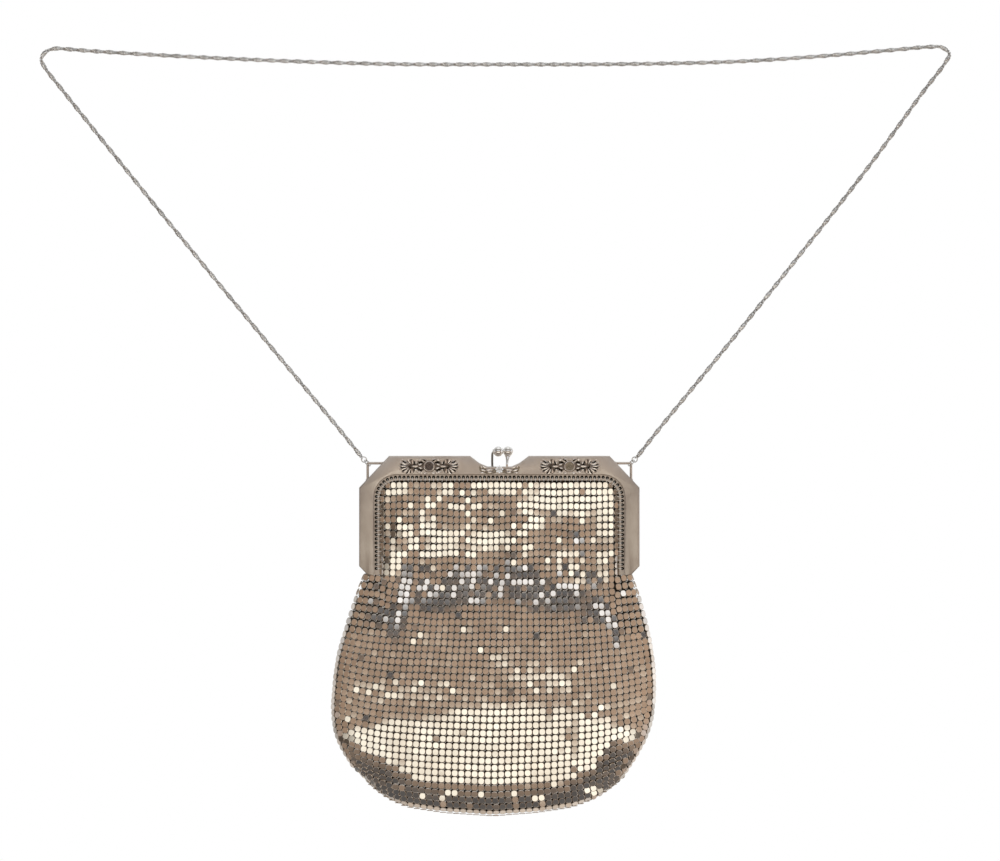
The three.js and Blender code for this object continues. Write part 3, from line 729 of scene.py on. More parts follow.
def repeat(name, pattern, places, tones=None):
    """One object with a copy of the pattern at each place, given as 4 by 4 matrices."""
    points, corners, sizes, finishes = read_mesh(pattern.data)
    places = np.asarray(places, float)
    count = len(places)
    all_points = np.einsum("nij,vj->nvi", places[:, :3, :3], points) + places[:, None, :3, 3]
    all_corners = corners[None, :] + np.arange(count)[:, None] * len(points)
    all_sizes = np.tile(sizes, count)
    mesh = bpy.data.meshes.new(name)
    mesh.vertices.add(count * len(points))
    mesh.vertices.foreach_set("co", all_points.ravel())
    mesh.loops.add(all_corners.size)
    mesh.loops.foreach_set("vertex_index", all_corners.ravel())
    mesh.polygons.add(len(all_sizes))
    mesh.polygons.foreach_set("loop_start", np.concatenate([[0], np.cumsum(all_sizes)[:-1]]))
    mesh.polygons.foreach_set("material_index", np.tile(finishes, count))
    mesh.update(calc_edges=True)
    for material in pattern.data.materials:
        mesh.materials.append(material)
    if tones is not None:
        mesh.attributes.new("tone", "FLOAT", "POINT")
        mesh.attributes["tone"].data.foreach_set("value", np.repeat(tones, len(points)))
    piece = bpy.data.objects.new(name, mesh)
    bpy.context.scene.collection.objects.link(piece)
    return piece


def frames_of(first, second, third, spots):
    """Matrices, 4 by 4, from three directions and a place for each copy."""
    places = np.tile(np.eye(4), (len(spots), 1, 1))
    for column, values in enumerate((first, second, third, spots)):
        places[:, :3, column] = values
    return places


def leaf_place(x, z, length, width, angle, depth, height):
    """Matrix that puts the leaf's root at a point of the face, turned by an angle in degrees."""
    turn = Matrix.Rotation(-math.radians(angle), 4, "Y")
    return Matrix.Translation((x, depth, z)) @ turn @ Matrix.Diagonal((length, height, width, 1))


# %% Leaves of the panels
# Leaves on one side of a medallion: place from its centre, length, width and angle in degrees
panel_leaves = [
    (8.4, 0.5, 4.9, 1.15, 33), (8.6, 0.3, 5.3, 1.05, 17), (8.7, 0.0, 5.4, 0.95, 2),
    (8.6, -0.3, 5.3, 1.05, -13), (8.4, -0.5, 4.9, 1.15, -30), (8.1, -0.8, 3.7, 1.1, -55),
    (8.2, 0.7, 3.1, 1.1, 62), (7.8, 0.5, 2.9, 1.1, 96), (7.9, -0.7, 2.8, 1.1, -92),
    (8.6, 0.0, 3.7, 1.2, 180), (7.6, 1.3, 2.4, 0.8, 176), (7.4, -1.2, 2.2, 0.8, 196),
    (5.6, 0.3, 2.6, 0.9, 160), (5.4, -0.5, 2.6, 0.9, -168), (5.8, 2.6, 2.6, 0.8, 174),
    (6.2, -2.6, 2.8, 0.8, 184), (0.5, 3.0, 2.6, 0.8, 6), (0.3, -3.1, 2.8, 0.8, -4),
    (3.4, 2.4, 1.6, 0.7, 60), (3.2, -2.2, 1.5, 0.7, -60),
]
# Slots between the leaves, which have gone black
panel_slots = [
    (9.3, 1.3, 3.3, 0.85, 21), (10.1, 0.4, 3.3, 0.8, 6), (10.1, -0.5, 3.0, 0.8, -8),
    (9.7, -1.3, 3.0, 0.85, -20), (9.1, -2.1, 2.0, 0.8, -40), (9.4, -0.1, 1.5, 0.7, 218),
    (8.4, -1.5, 1.2, 0.7, -80), (6.9, 2.5, 2.0, 0.9, -108), (5.7, 2.0, 3.1, 1.05, 184),
    (3.2, 3.3, 1.9, 0.95, 204), (7.0, -2.0, 1.6, 0.85, 122), (6.3, -0.8, 1.5, 0.7, -152),
    (5.1, -2.3, 1.7, 0.85, 118), (4.4, -0.8, 2.0, 0.9, -122),
]
# Leaves beside the flower: place from the middle of the notch's floor
sprig_leaves = [
    (1.5, -1.6, 4.4, 0.9, 5), (4.4, -1.3, 3.9, 0.9, 24), (2.0, -2.5, 4.0, 0.9, 0),
    (5.2, -2.3, 3.8, 0.9, 18), (7.6, -1.0, 1.9, 0.9, 60), (6.0, -2.8, 3.0, 0.8, 2),
    (3.4, -2.0, 3.2, 0.8, 12),
]
leaf_root = -half_depth + bed_depth - 0.05
leaf_height = bed_depth + 0.3


def both_sides(table, centres, base, height_out):
    """Places for a table of leaves on both sides of each centre."""
    return [leaf_place(centre + side * x, base + z, length, width,
                       angle if side > 0 else 180 - angle, leaf_root, height_out)
            for centre in centres for side in (-1, 1) for x, z, length, width, angle in table]


leaf_places = both_sides(panel_leaves, (-panel_offset, panel_offset), panel_middle, leaf_height)
leaf_places += both_sides(sprig_leaves, (0,), notch_floor, leaf_height)
leaves = repeat("leaves", leaf_pattern, leaf_places)
finish_piece(leaves, "ornament_leaves", worn_relief)
slots = repeat("slots", leaf_pattern, both_sides(panel_slots, (-panel_offset, panel_offset),
                                                 panel_middle, leaf_height + 0.04))
bpy.data.objects.remove(leaf_pattern)
finish_piece(slots, "ornament_slots", black_tarnish_and_shade)

# %% [markdown]
# ## Medallions and flower
# A round medallion sits in the middle of each panel: a raised ring round a dish with a small stud.
# Anything round is quickest as a profile that is spun about an axis. The flower on the notch's
# floor is a spun knob with petals, which are leaves again.


# %% Spun shapes
def spun(name, profile, steps, axis=(0, -1, 0)):
    """Spin (radius, height) points about the Y axis. Height rises towards the front."""
    piece = draw_lines(name, [[(radius, 0) for radius, _ in profile]], 0, closed=False)
    for vertex, (_, height_up) in zip(piece.data.vertices, profile):
        vertex.co.y = -height_up
    edit(piece)
    bpy.ops.mesh.spin(steps=steps, angle=2 * math.pi, center=(0, 0, 0), axis=axis)
    close_up(merge=1e-4)
    return piece


# %% Medallions
medallion_profile = [
    (0, 0.16), (0.3, 0.14), (0.45, 0.02), (0.8, 0.02), (0.95, 0.12), (1.2, 0.12), (1.35, 0.02),
    (1.85, 0.05), (2.0, 0.38), (2.2, 0.5), (2.45, 0.42), (2.6, 0.1), (2.6, -0.45), (0, -0.45),
]
dish_radius = 1.9
# The left dish has gone black, the right one is only dull
medallions = []
for centre, dish_finish in ((-panel_offset, dark_dish), (panel_offset, dull_dish)):
    medallion = spun("medallion", medallion_profile, 32)
    medallion.data.materials.append(worn_relief)
    medallion.data.materials.append(dish_finish)
    for face in medallion.data.polygons:
        in_dish = math.hypot(face.center.x, face.center.z) < dish_radius and face.normal.y < -0.5
        face.material_index = 1 if in_dish else 0
    medallion.data.transform(Matrix.Translation((centre, -half_depth, panel_middle)))
    medallions.append(medallion)
finish_piece(join_pieces(medallions), "ornament_medallions", worn_relief)

# %% Flower
flower_petals, flower_z = 8, notch_floor - 1.15
knob_profile = [
    (0, 0.62), (0.3, 0.55), (0.42, 0.25), (0.5, 0.1), (0.75, 0.1), (0.85, 0.4), (1.05, 0.45),
    (1.15, 0.2), (1.15, -0.3), (0, -0.3),
]
knob = spun("knob", knob_profile, 24)
knob.data.materials.append(worn_relief)
knob.data.materials.append(black_tarnish_and_shade)
for face in knob.data.polygons:
    in_groove = 0.35 < math.hypot(face.center.x, face.center.z) < 0.82 and face.center.y > -0.42
    face.material_index = 1 if in_groove and face.center.y < -0.05 else 0
knob.data.transform(Matrix.Translation((0, -half_depth, flower_z)))
petal = make_leaf()
petal_places = [leaf_place(0, flower_z, 1.9, 0.9, 360 * i / flower_petals + 90,
                           -half_depth + 0.1, 0.45) for i in range(flower_petals)]
petals = repeat("petals", petal, petal_places)
bpy.data.objects.remove(petal)
finish_piece(join_pieces([knob, petals]), "ornament_flower", worn_relief)

# %% [markdown]
# ## Back half and bails
# The back half has no ornament. It carries the two square wire bails that the chain is hooked to.
# A wire is a curve with a round bevel, turned into a mesh.


# %% Wires
def wire(name, points, radius, radii=None, resolution=3, smooth=False):
    """A round wire through points, with an optional share of the radius at each point."""
    data = bpy.data.curves.new(name, "CURVE")
    data.dimensions = "3D"
    data.bevel_depth = radius
    data.bevel_resolution = resolution
    data.use_fill_caps = True
    line = data.splines.new("NURBS" if smooth else "POLY")
    line.points.add(len(points) - 1)
    for i, point in enumerate(points):
        line.points[i].co = (*point, 1)
        line.points[i].radius = radii[i] if radii else 1.0
    if smooth:
        line.order_u = 4
        line.resolution_u = 8
        line.use_endpoint_u = True
    piece = bpy.data.objects.new(name, data)
    bpy.context.scene.collection.objects.link(piece)
    make_active(piece)
    bpy.ops.object.convert(target="MESH")
    return bpy.context.object


# %% Back half
bail_radius, bail_inset, bail_drop, bail_y = 0.6, 3.7, 3.35, 0.85
bail_x, bail_z = frame_width / 2 - bail_inset, frame_top - bail_drop
chamfer_width = (frame_width - top_width) / 2
bail_in = top_width / 2 + chamfer_width * bail_drop / upper_chamfer - 0.4
bail_down = frame_top - upper_chamfer * (1 - bail_inset / chamfer_width) - 0.4


def make_bail(side):
    """Square wire bail with a tight round corner and a bead of solder at each end."""
    bend = [(bail_x - 0.35, bail_z), (bail_x - 0.1, bail_z - 0.1), (bail_x, bail_z - 0.35)]
    line = [(bail_in, bail_z)] + bend + [(bail_x, bail_down)]
    pieces = [wire("bail", [(side * x, bail_y, z) for x, z in line], bail_radius, resolution=4)]
    for x, z in (line[0], line[-1]):
        bead = spun("solder", [(0, 0.75), (0.55, 0.62), (0.95, 0.2), (1.0, -0.3), (0, -0.3)], 16)
        lean = Vector((0.35 * side, 0, 1)).to_track_quat("-Y", "Z").to_matrix().to_4x4()
        bead.data.transform(Matrix.Translation((side * x, bail_y, z)) @ lean)
        pieces.append(bead)
    return pieces


back_half = join_pieces([make_half(1)] + make_ears(1) + make_bail(-1) + make_bail(1))
finish_piece(back_half, "back_half", satin_nickel, ["back_frame"])

# %% [markdown]
# ## Hinge pins
# The rivets sit inside the legs and hardly show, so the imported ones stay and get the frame's metal.

# %% Hinge pins
for name in ("left_hinge_pin", "right_hinge_pin"):
    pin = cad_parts[name]
    pin.data.materials.clear()
    pin.data.materials.append(satin_nickel)
print("hinge pins finished")

# %% [markdown]
# ## Ball clasp
# Each half carries one arm with a polished ball, and the balls snap past each other. The left arm
# is a bent wire that brings its ball to the front. The right arm is a turned post that widens to a
# collar. Balls and collars are turned on a lathe, so they are spun from profiles.

# %% Clasp
ball_radius, ball_z, ball_y = 2.3, frame_top + 2, 1.025
arm_y, arm_radius = 2.0, 0.5
left_arm_x, right_arm_x, left_ball_x, right_ball_x = -3.2, 3.5, -0.5, 3.95
ball_profile = [(ball_radius * math.sin(t), ball_radius * math.cos(t))
                for t in np.linspace(0, math.pi, 17)]


def aimed(piece, start, end):
    """Turn a piece that rises along -Y so that it points from start to end, and set it there."""
    way = (Vector(end) - Vector(start)).to_track_quat("-Y", "Z").to_matrix().to_4x4()
    piece.data.transform(Matrix.Translation(start) @ way)
    return piece


def make_foot(x, y):
    foot = spun("foot", [(0, 0), (1.1, 0), (1.1, -0.6), (0.9, -0.8), (0, -0.8)], 24)
    return aimed(foot, (x, y, notch_floor - 1.3), (x, y, notch_floor))


left_ball = (left_ball_x, -ball_y, ball_z)
left_points = [
    (left_arm_x, arm_y, notch_floor - 1.7), (left_arm_x, arm_y, notch_floor),
    (left_arm_x - 0.1, arm_y, notch_floor + 1.6), (left_arm_x - 0.1, 0.6, notch_floor + 3.4),
    (left_arm_x - 0.05, -0.8, notch_floor + 5.2), (left_arm_x, -ball_y, ball_z - 0.5),
    (left_arm_x + 0.7, -ball_y, ball_z + 0.1), left_ball,
]
left_arm = wire("arm", left_points, arm_radius, smooth=True, resolution=4)
left_arm.data.materials.append(dull_silver)
left_pieces = [
    aimed(spun("ball", ball_profile, 32), left_ball, (3, -ball_y, ball_z)),
    aimed(spun("collar", [(0, 0.6), (0.9, 0.6), (1.15, 0.3), (0.9, 0), (0, 0)], 24),
          (left_ball_x - 2.55, -ball_y, ball_z), left_ball),
    make_foot(left_arm_x, arm_y),
]
for piece in left_pieces:
    piece.data.materials.append(polished_silver)
left_pieces.append(left_arm)
finish_piece(join_pieces(left_pieces), "left_clasp", polished_silver,
             ["back_clasp"])

# %% Right arm
right_foot = (right_arm_x, -arm_y, notch_floor - 1.7)
right_knee = (right_arm_x, -arm_y, notch_floor + 1)
right_ball = (right_ball_x, ball_y, ball_z)
post_length = (Vector(right_ball) - Vector(right_knee)).length
post_profile = [
    (0, post_length), (0.85, post_length - 0.5), (0.95, post_length - 1.9),
    (1.25, post_length - 2.15), (1.25, post_length - 2.5), (0.95, post_length - 2.8),
    (0.8, post_length - 3.6),
    (0.55, post_length * 0.3), (0.5, 0), (0.35, -0.35), (0, -0.5),
]
right_pieces = [
    aimed(spun("post", post_profile, 24), right_knee, right_ball),
    wire("arm", [right_foot, right_knee], arm_radius, resolution=4),
    aimed(spun("ball", ball_profile, 32), right_ball, (right_ball_x, ball_y, 0)),
    make_foot(right_arm_x, -arm_y),
]
finish_piece(join_pieces(right_pieces), "right_clasp", polished_silver,
             ["front_clasp"])

# %% [markdown]
# ## Rings on the bails
# A small ring hangs in the corner of each bail, and the first link of the chain hangs in the ring,
# square to it. A ring of wire is a small circle spun about a distant axis.

# %% Rings and end links
ring_wire, ring_turn = 0.25, math.pi / 9
ring_seat = (ring_wire + gap + bail_radius) * math.sqrt(2)
link_seat = bail_radius + gap + ring_wire
ring_radius = (ring_seat + link_seat + gap + 2 * ring_wire) / 2
end_link_radius = 1.25


def make_ring(name, radius, thickness, steps, sides):
    """Ring in the XZ plane about the origin."""
    section = circle(radius, 0, thickness, sides)
    ring = draw_lines(name, [section], 0)
    for vertex, (x, z) in zip(ring.data.vertices, section):
        vertex.co = (x, z, 0)
    edit(ring)
    bpy.ops.mesh.spin(steps=steps, angle=2 * math.pi, center=(0, 0, 0), axis=(0, 1, 0))
    close_up(merge=1e-4)
    return ring


def ring_place(side, distance, turn):
    """Matrix for a ring at a distance beyond the corner of a bail, turned about that line."""
    along = Vector((side, 0, 1)).normalized()
    across = Vector((0, 1, 0))
    across.rotate(Matrix.Rotation(turn, 3, along))
    axis = along.cross(across)
    matrix = Matrix((along, axis, across)).transposed().to_4x4()
    corner = Vector((side * bail_x, bail_y, bail_z))
    return Matrix.Translation(corner + along * distance) @ matrix


for side, word in ((-1, "left"), (1, "right")):
    ring = make_ring("ring", ring_radius, ring_wire, 36, 10)
    ring.data.transform(ring_place(side, ring_radius - ring_seat, side * ring_turn))
    finish_piece(ring, word + "_ring", chain_silver, [word + "_chain_ring"])

# %% [markdown]
# ## Rope chain
# A rope chain is made of small rings that are linked closely and twist round each other in two
# strands. One ring is spun, and about 1600 copies follow the chain's route half a millimetre
# apart. Neighbours lean opposite ways, and the lean turns slowly along the chain, which draws the
# rope's twist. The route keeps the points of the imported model.

# %% Chain route
chain_route = [
    (-74.1, -167.2), (-101.6, -134.1), (-138, -89.9), (-173.8, -45.8), (-200.3, -12.7),
    (-209.4, -0.9), (-210.7, 2.4), (-208.6, 5.8), (-204.2, 7.3), (-198.6, 7),
    (-188.3, 6.2), (-151.5, 4), (-96.3, 1.5), (-45.7, 0.1), (0, 0),
    (50.9, 0.1), (106.1, 1.2), (142.9, 3.4), (179.7, 6.5), (198.6, 8.1),
    (203.4, 7.9), (207, 4.9), (205.2, 0.9), (194.9, -12.7), (170.8, -45.8),
    (136.4, -89.9), (101, -134.1), (73.9, -167.2),
]


def chain_end(side):
    reach = (link_seat + 2 * end_link_radius) / math.sqrt(2)
    return (side * (bail_x + reach), bail_y, bail_z + reach)


def smooth_line(points, steps=24):
    """Smooth curve through points whose spacing varies, by centripetal interpolation."""
    points = [2 * points[0] - points[1]] + list(points) + [2 * points[-1] - points[-2]]
    line = []
    for a, b, c, d in zip(points, points[1:], points[2:], points[3:]):
        gaps = [np.linalg.norm(q - p) for p, q in ((a, b), (b, c), (c, d))]
        t = np.cumsum([0] + [max(gap_here, 1e-6) ** 0.5 for gap_here in gaps])
        for u in np.linspace(t[1], t[2], steps, endpoint=False):
            ab = (a * (t[1] - u) + b * (u - t[0])) / (t[1] - t[0])
            bc = (b * (t[2] - u) + c * (u - t[1])) / (t[2] - t[1])
            cd = (c * (t[3] - u) + d * (u - t[2])) / (t[3] - t[2])
            first = (ab * (t[2] - u) + bc * (u - t[0])) / (t[2] - t[0])
            second = (bc * (t[3] - u) + cd * (u - t[1])) / (t[3] - t[1])
            line.append((first * (t[2] - u) + second * (u - t[1])) / (t[2] - t[1]))
    return np.array(line + [points[-2]])


route = [chain_end(-1)] + [(x, 0, z) for x, z in chain_route] + [chain_end(1)]
route = smooth_line([np.array(point, float) for point in route])
route_length = np.linalg.norm(np.diff(route, axis=0), axis=1).sum()
print("chain length:", round(route_length), "mm")

# %% Chain
chain_link_radius, chain_wire, chain_spacing = 0.86, 0.24, 0.56
chain_lean, chain_twist = math.radians(52), 12.4


def turning_places(line, spacing, lean, twist):
    """Places for rings along a line. Neighbours lean opposite ways, and the lean slowly turns."""
    spots, ways = along_line(line, spacing)
    up = np.array([0.0, 1.0, 0.0])
    side = np.cross(ways, up)
    side /= np.linalg.norm(side, axis=1, keepdims=True)
    over = np.cross(side, ways)
    number = np.arange(len(spots))
    turn = 2 * np.pi * number * spacing / twist + np.pi * (number % 2)
    lean_way = np.cos(turn)[:, None] * side + np.sin(turn)[:, None] * over
    axis = np.cos(lean) * ways + np.sin(lean) * lean_way
    first = np.cross(axis, lean_way)
    first /= np.linalg.norm(first, axis=1, keepdims=True)
    return frames_of(first, axis, np.cross(first, axis), spots)


chain_link = make_ring("chain link", chain_link_radius, chain_wire, 10, 4)
chain = repeat("chain", chain_link, turning_places(route, chain_spacing, chain_lean, chain_twist))
bpy.data.objects.remove(chain_link)
end_links = []
for side in (-1, 1):
    link = make_ring("end link", end_link_radius, ring_wire, 32, 10)
    turn = side * ring_turn + math.pi / 2
    link.data.transform(ring_place(side, link_seat + end_link_radius, turn))
    end_links.append(link)
finish_piece(join_pieces([chain] + end_links), "rope_chain", chain_silver,
             ["chain"],
             angle=math.radians(60))

# %% [markdown]
# ## Shape of the mesh pouch
# The pouch hangs between the two halves of the frame, widens below the legs and is drawn together
# along a round bottom. Its shape is kept as a few rows of edges and depths, which are the packed
# model's. They are read at any height through smooth curves, so that neighbouring plates lean
# almost alike.

# %% Pouch tables
bag_half_width, bag_hang, bag_half_depth, bag_offset = 74.6, 110.5, 9.5, -2.5
# Share of the hang below the legs, left and right edge, and half depth, as shares
side_rows = [
    (0.012, 0.788, 0.84, 0.53), (0.062, 0.825, 0.87, 0.6), (0.112, 0.856, 0.901, 0.67),
    (0.162, 0.887, 0.926, 0.74), (0.237, 0.924, 0.957, 0.83), (0.337, 0.967, 0.982, 0.92),
    (0.437, 0.986, 0.994, 0.97), (0.537, 0.998, 0.99, 1.0), (0.6, 0.995, 0.977, 1.0),
    (0.661, 0.98, 0.951, 0.96), (0.736, 0.93, 0.895, 0.85), (0.786, 0.881, 0.846, 0.7),
    (0.836, 0.807, 0.797, 0.43), (0.852, 0.785, 0.772, 0.24), (0.861, 0.77, 0.753, 0.0),
]
# Share of the way across and rise of the bottom edge
bottom_rows = [
    (0, 0.139), (0.04, 0.102), (0.093, 0.064), (0.16, 0.036), (0.3, 0.014), (0.5, 0),
    (0.68, 0.014), (0.82, 0.036), (0.891, 0.064), (0.955, 0.102), (1, 0.139),
]
sleeve_fullness, belly_fullness = 8, 2.2

# %% Pouch profile
mouth = opening_top - flange_width - gap
neck = leg_end - gap
pouch_bottom = neck - side_rows[-1][0] * bag_hang
pouch_height = mouth - pouch_bottom


def blurred(values, width):
    """Smooth a column of values that are 0.1 mm apart."""
    reach = int(width * 30)
    kernel = np.exp(-0.5 * (np.arange(-reach, reach + 1) / (width * 10)) ** 2)
    padded = np.pad(values, reach, mode="edge")
    return np.convolve(padded, kernel / kernel.sum(), mode="valid")


def pouch_profile():
    """Left edge, right edge, half depth and fullness at every 0.1 mm below the mouth."""
    down = np.arange(0, pouch_height + 0.05, 0.1)
    corner = inner_corner - flange_width - gap
    fall = np.clip(corner - down, 0, None)
    inside = opening_half - flange_width - gap - corner + np.sqrt(corner ** 2 - fall ** 2)
    shares, left, right, depth = np.array(side_rows).T
    below = mouth - neck + shares * bag_hang
    in_frame = down < below[0]
    left_reach = bag_half_width * np.interp(down, below, left)
    right_reach = bag_half_width * np.interp(down, below, right)
    left_edge = np.where(in_frame, -inside, bag_offset - left_reach)
    right_edge = np.where(in_frame, inside, bag_offset + right_reach)
    mouth_depth = (flange_front + flange_back) / 2 + 0.8
    half_depths = np.interp(down, np.append(0, below),
                            np.append(mouth_depth, depth * bag_half_depth))
    hang_share = np.clip((down - (mouth - neck)) / bag_hang, 0, None)
    fullness = belly_fullness + (sleeve_fullness - belly_fullness) * np.clip(
        1 - hang_share / 0.15, 0, None) ** 2
    soft = np.clip((below[-4] - down) / 6, 0, 1)
    keep_edges = np.clip((down - below[0] - 6) / 6, 0, 1) * soft
    left_edge += keep_edges * (blurred(left_edge, 3) - left_edge)
    right_edge += keep_edges * (blurred(right_edge, 3) - right_edge)
    half_depths += soft * (blurred(half_depths, 3) - half_depths)
    return down, left_edge, right_edge, half_depths, fullness


profile_down, profile_left, profile_right, profile_depth, profile_fullness = pouch_profile()
print("pouch is", round(pouch_height, 1), "mm high at its sides")

# %% [markdown]
# ## Soft folds
# Gathered under the frame, the mesh hangs in shallow folds that fade out over the belly. Each fold
# is a soft ridge or valley with a place across, a lean, a start, an end and a width.

# %% Folds
front_folds = [
    (0.1, -0.07, 0.01, 0.34, 0.025, 1), (0.22, -0.04, 0, 0.5, 0.035, -0.5),
    (0.33, 0, 0.02, 0.4, 0.04, 0.7), (0.44, 0.02, 0.05, 0.45, 0.035, -0.5),
    (0.54, 0.02, 0, 0.48, 0.04, 0.9), (0.66, 0.02, 0.04, 0.4, 0.035, -0.5),
    (0.77, 0.04, 0, 0.36, 0.04, 0.8), (0.88, 0.03, 0.1, 0.55, 0.03, -0.6),
]
back_folds = [
    (0.2, -0.03, 0, 0.45, 0.045, 0.7), (0.4, 0, 0, 0.4, 0.045, -0.5),
    (0.6, 0, 0, 0.4, 0.045, 0.6), (0.8, 0.03, 0, 0.45, 0.045, -0.5),
]
fold_depth = 1.4


def fold_height(folds, share, drop):
    height_out = np.zeros(np.broadcast(share, drop).shape)
    for across, lean, top, bottom, width, rise in folds:
        way = (drop - top) / (bottom - top)
        away = (share - across - lean * way) / width
        height_out += rise * np.exp(-away ** 2) * np.sin(np.pi * np.clip(way, 0, 1))
    return height_out * fold_depth


def pouch_point(share, down, side):
    """Points of the front sheet, side -1, or the back sheet, side 1, at shares across and at
    distances below the mouth."""
    share, down = np.broadcast_arrays(np.clip(share, 0, 1), np.clip(down, 0, pouch_height))
    left = np.interp(down, profile_down, profile_left)
    right = np.interp(down, profile_down, profile_right)
    depth = np.interp(down, profile_down, profile_depth)
    full = np.interp(down, profile_down, profile_fullness)
    across, rise = np.array(bottom_rows).T
    rise_here = np.interp(share, smooth_across, smooth_rise)
    drop = down / pouch_height
    edge = np.clip(1 - np.abs(2 * share - 1) ** full, 0, None) ** (1 / full)
    folds = front_folds if side < 0 else back_folds
    fade = np.clip(depth / 4, 0, 1)
    y = side * edge * (depth + fade * fold_height(folds, share, drop))
    z = mouth - down + drop ** 2 * (rise_here - rise[0]) * bag_hang
    return np.stack([left * (1 - share) + right * share, y, z], axis=-1)


smooth_across = np.linspace(0, 1, 401)
smooth_rise = np.interp(smooth_across, *np.array(bottom_rows).T)
smooth_rise = 0.5 * smooth_rise + 0.25 * (np.roll(smooth_rise, 8) + np.roll(smooth_rise, -8))
smooth_rise[:9] = np.interp(smooth_across[:9], *np.array(bottom_rows).T)
smooth_rise[-9:] = np.interp(smooth_across[-9:], *np.array(bottom_rows).T)
print("lowest point:", pouch_point(0.5, pouch_height, -1).round(1))

# %% [markdown]
# ## How the plates lean
# Which plates shine depends on a lean of a few degrees, more than on the shape. One that leans
# down by about six degrees meets the low softbox. Three things set the lean: the crescent where
# the belly turns under, soft patches where the mesh is creased, and a little chance at every plate.

# %% Lean tables
upright = 1.3
# The bright crescent on the belly: place across, its top and its bottom
crescent = [
    (-75, -311, -313), (-69, -305, -311), (-60, -303.8, -316), (-50, -301, -321),
    (-38, -300.3, -327.7), (-24, -298.5, -331), (-18, -294, -331.5), (-8, -293.3, -331.2),
    (17, -293.6, -330.7), (32, -295.5, -327.7), (42, -300, -322), (51, -302.5, -311),
    (64, -305, -310), (70, -307.5, -309),
]
# Creases: place, half width and height, lean in degrees, slant, share of plates left out
creases = [
    (-46, -195.4, 6, 3.4, -5.5, -0.9, 0.15), (-54.3, -212, 1.4, 14, -5.5, -0.14, 0.1),
    (-24, -195.2, 3.6, 3.2, -5.5, 0, 0.3), (-17, -196, 1.4, 3, -5.5, 0, 0.3),
    (-8, -195.8, 4.6, 3.6, -5.5, 0, 0.25), (-15, -202.9, 11, 1.8, -5.5, 0, 0.35),
    (4.4, -195.2, 8.5, 3, -5.5, 0, 0.3), (36, -199, 20, 7.6, -5.8, 0, 0.1),
    (12.3, -203.4, 4, 3.4, -5.5, 0, 0.15), (49.7, -211.5, 6, 6.5, -5.5, 0, 0.12),
    (-31.3, -202.7, 3, 3.2, -5.5, 0, 0.1), (-41, -217.6, 10.5, 10, -4.8, 0.2, 0.38),
    (-24.7, -218.1, 7.8, 4.6, -5.5, 0, 0.12), (-24.7, -226.2, 5.5, 1.6, -5.2, 0, 0.15),
    (-3.4, -217.8, 9, 4.6, -5.6, 0, 0.06), (9.2, -216.3, 4, 2.8, -3.2, 0, 0.2),
    (16, -211.3, 2.6, 1.6, -5.5, 0, 0.1), (14.5, -222, 1.8, 2, -5.5, 0, 0.1),
    (-52, -229.1, 8, 6, -5.6, -0.3, 0.12), (33, -231.9, 6.4, 7.8, -5.2, 0.35, 0.25),
    (50.2, -229, 5.5, 8.5, -4.8, 0, 0.55), (0, -211, 55, 22, -5, 0, 0.88),
    (-59, -287, 3.2, 2.2, -4.5, 0, 0.3), (-36, -287.5, 8, 4.5, -4.5, 0, 0.6),
    (17, -286.5, 6, 3, -4.8, 0, 0.45), (27.5, -280.5, 3, 3.6, -4.6, 0, 0.4),
    (0, -274, 5, 2.2, -3.4, 0, 0.5), (40, -298, 9, 5, -4.4, 0.4, 0.6),
    (32, -309, 4.5, 10, 0.5, 0, 0.5), (60, -320, 2.5, 5, -5.5, -1.1, 0.15),
    (18, -281, 17, 8, -0.8, 0, 0.4), (-38, -288, 22, 5, -0.8, 0, 0.4),
    (44, -333, 3.5, 1.8, -5.5, 0, 0.4), (0, -336, 60, 4.4, -5.5, 0, 0.82),
]
# Creases that look up: at about 7 degrees they meet the dark gap, at 12 the cool ceiling light
high_creases = [
    (-29, -244, 9.5, 7.5, 7.6, 0, 0.12), (-10, -242, 9, 6, 7.4, 0, 0.35),
    (12, -240, 9, 6.5, 7.6, 0, 0.2), (28, -246, 11, 6.5, 7.6, 0.35, 0.1),
    (41, -252, 7, 5, 7.6, 0.3, 0.2), (-55, -254, 6, 4.5, 7.5, 0, 0.3),
    (-44.6, -246, 2.9, 16, 12.5, -0.19, 0.06), (37.2, -220.7, 2, 5.5, 12.5, 0.5, 0.1),
    (-17.2, -232.6, 3, 3, 12.5, 0, 0.4), (-8.4, -232.6, 1.8, 1.8, 12.5, 0, 0.2),
    (1.7, -234.5, 2.4, 5.5, 12.5, -0.2, 0.2), (11.9, -231.9, 2.4, 2.2, 12.5, 0, 0.2),
    (6.1, -227.3, 2.5, 2.2, 12.5, 0, 0.5), (49.5, -254, 3, 7.5, 12.5, 0.6, 0.15),
    (54, -266, 2, 2.5, 12.5, 0, 0.3), (2, -240, 50, 9, 12.5, 0, 0.73),
]


# %% Lean of the plates
def crease(lean, x, z, table, chance):
    """Turn the plates in each soft patch of a table towards its lean, all but those left out."""
    for across, height_at, half_width, half_height, patch_lean, slant, left_out in table:
        dz = (z - height_at) / half_height
        dx = (x - across + slant * (z - height_at)) / half_width
        cover = np.exp(-(dx ** 4 + dz ** 4) * 0.7)
        cover = np.where(chance.random(len(x)) < left_out, 0.1 * cover, cover)
        lean = lean + cover * (patch_lean - lean)
    return lean


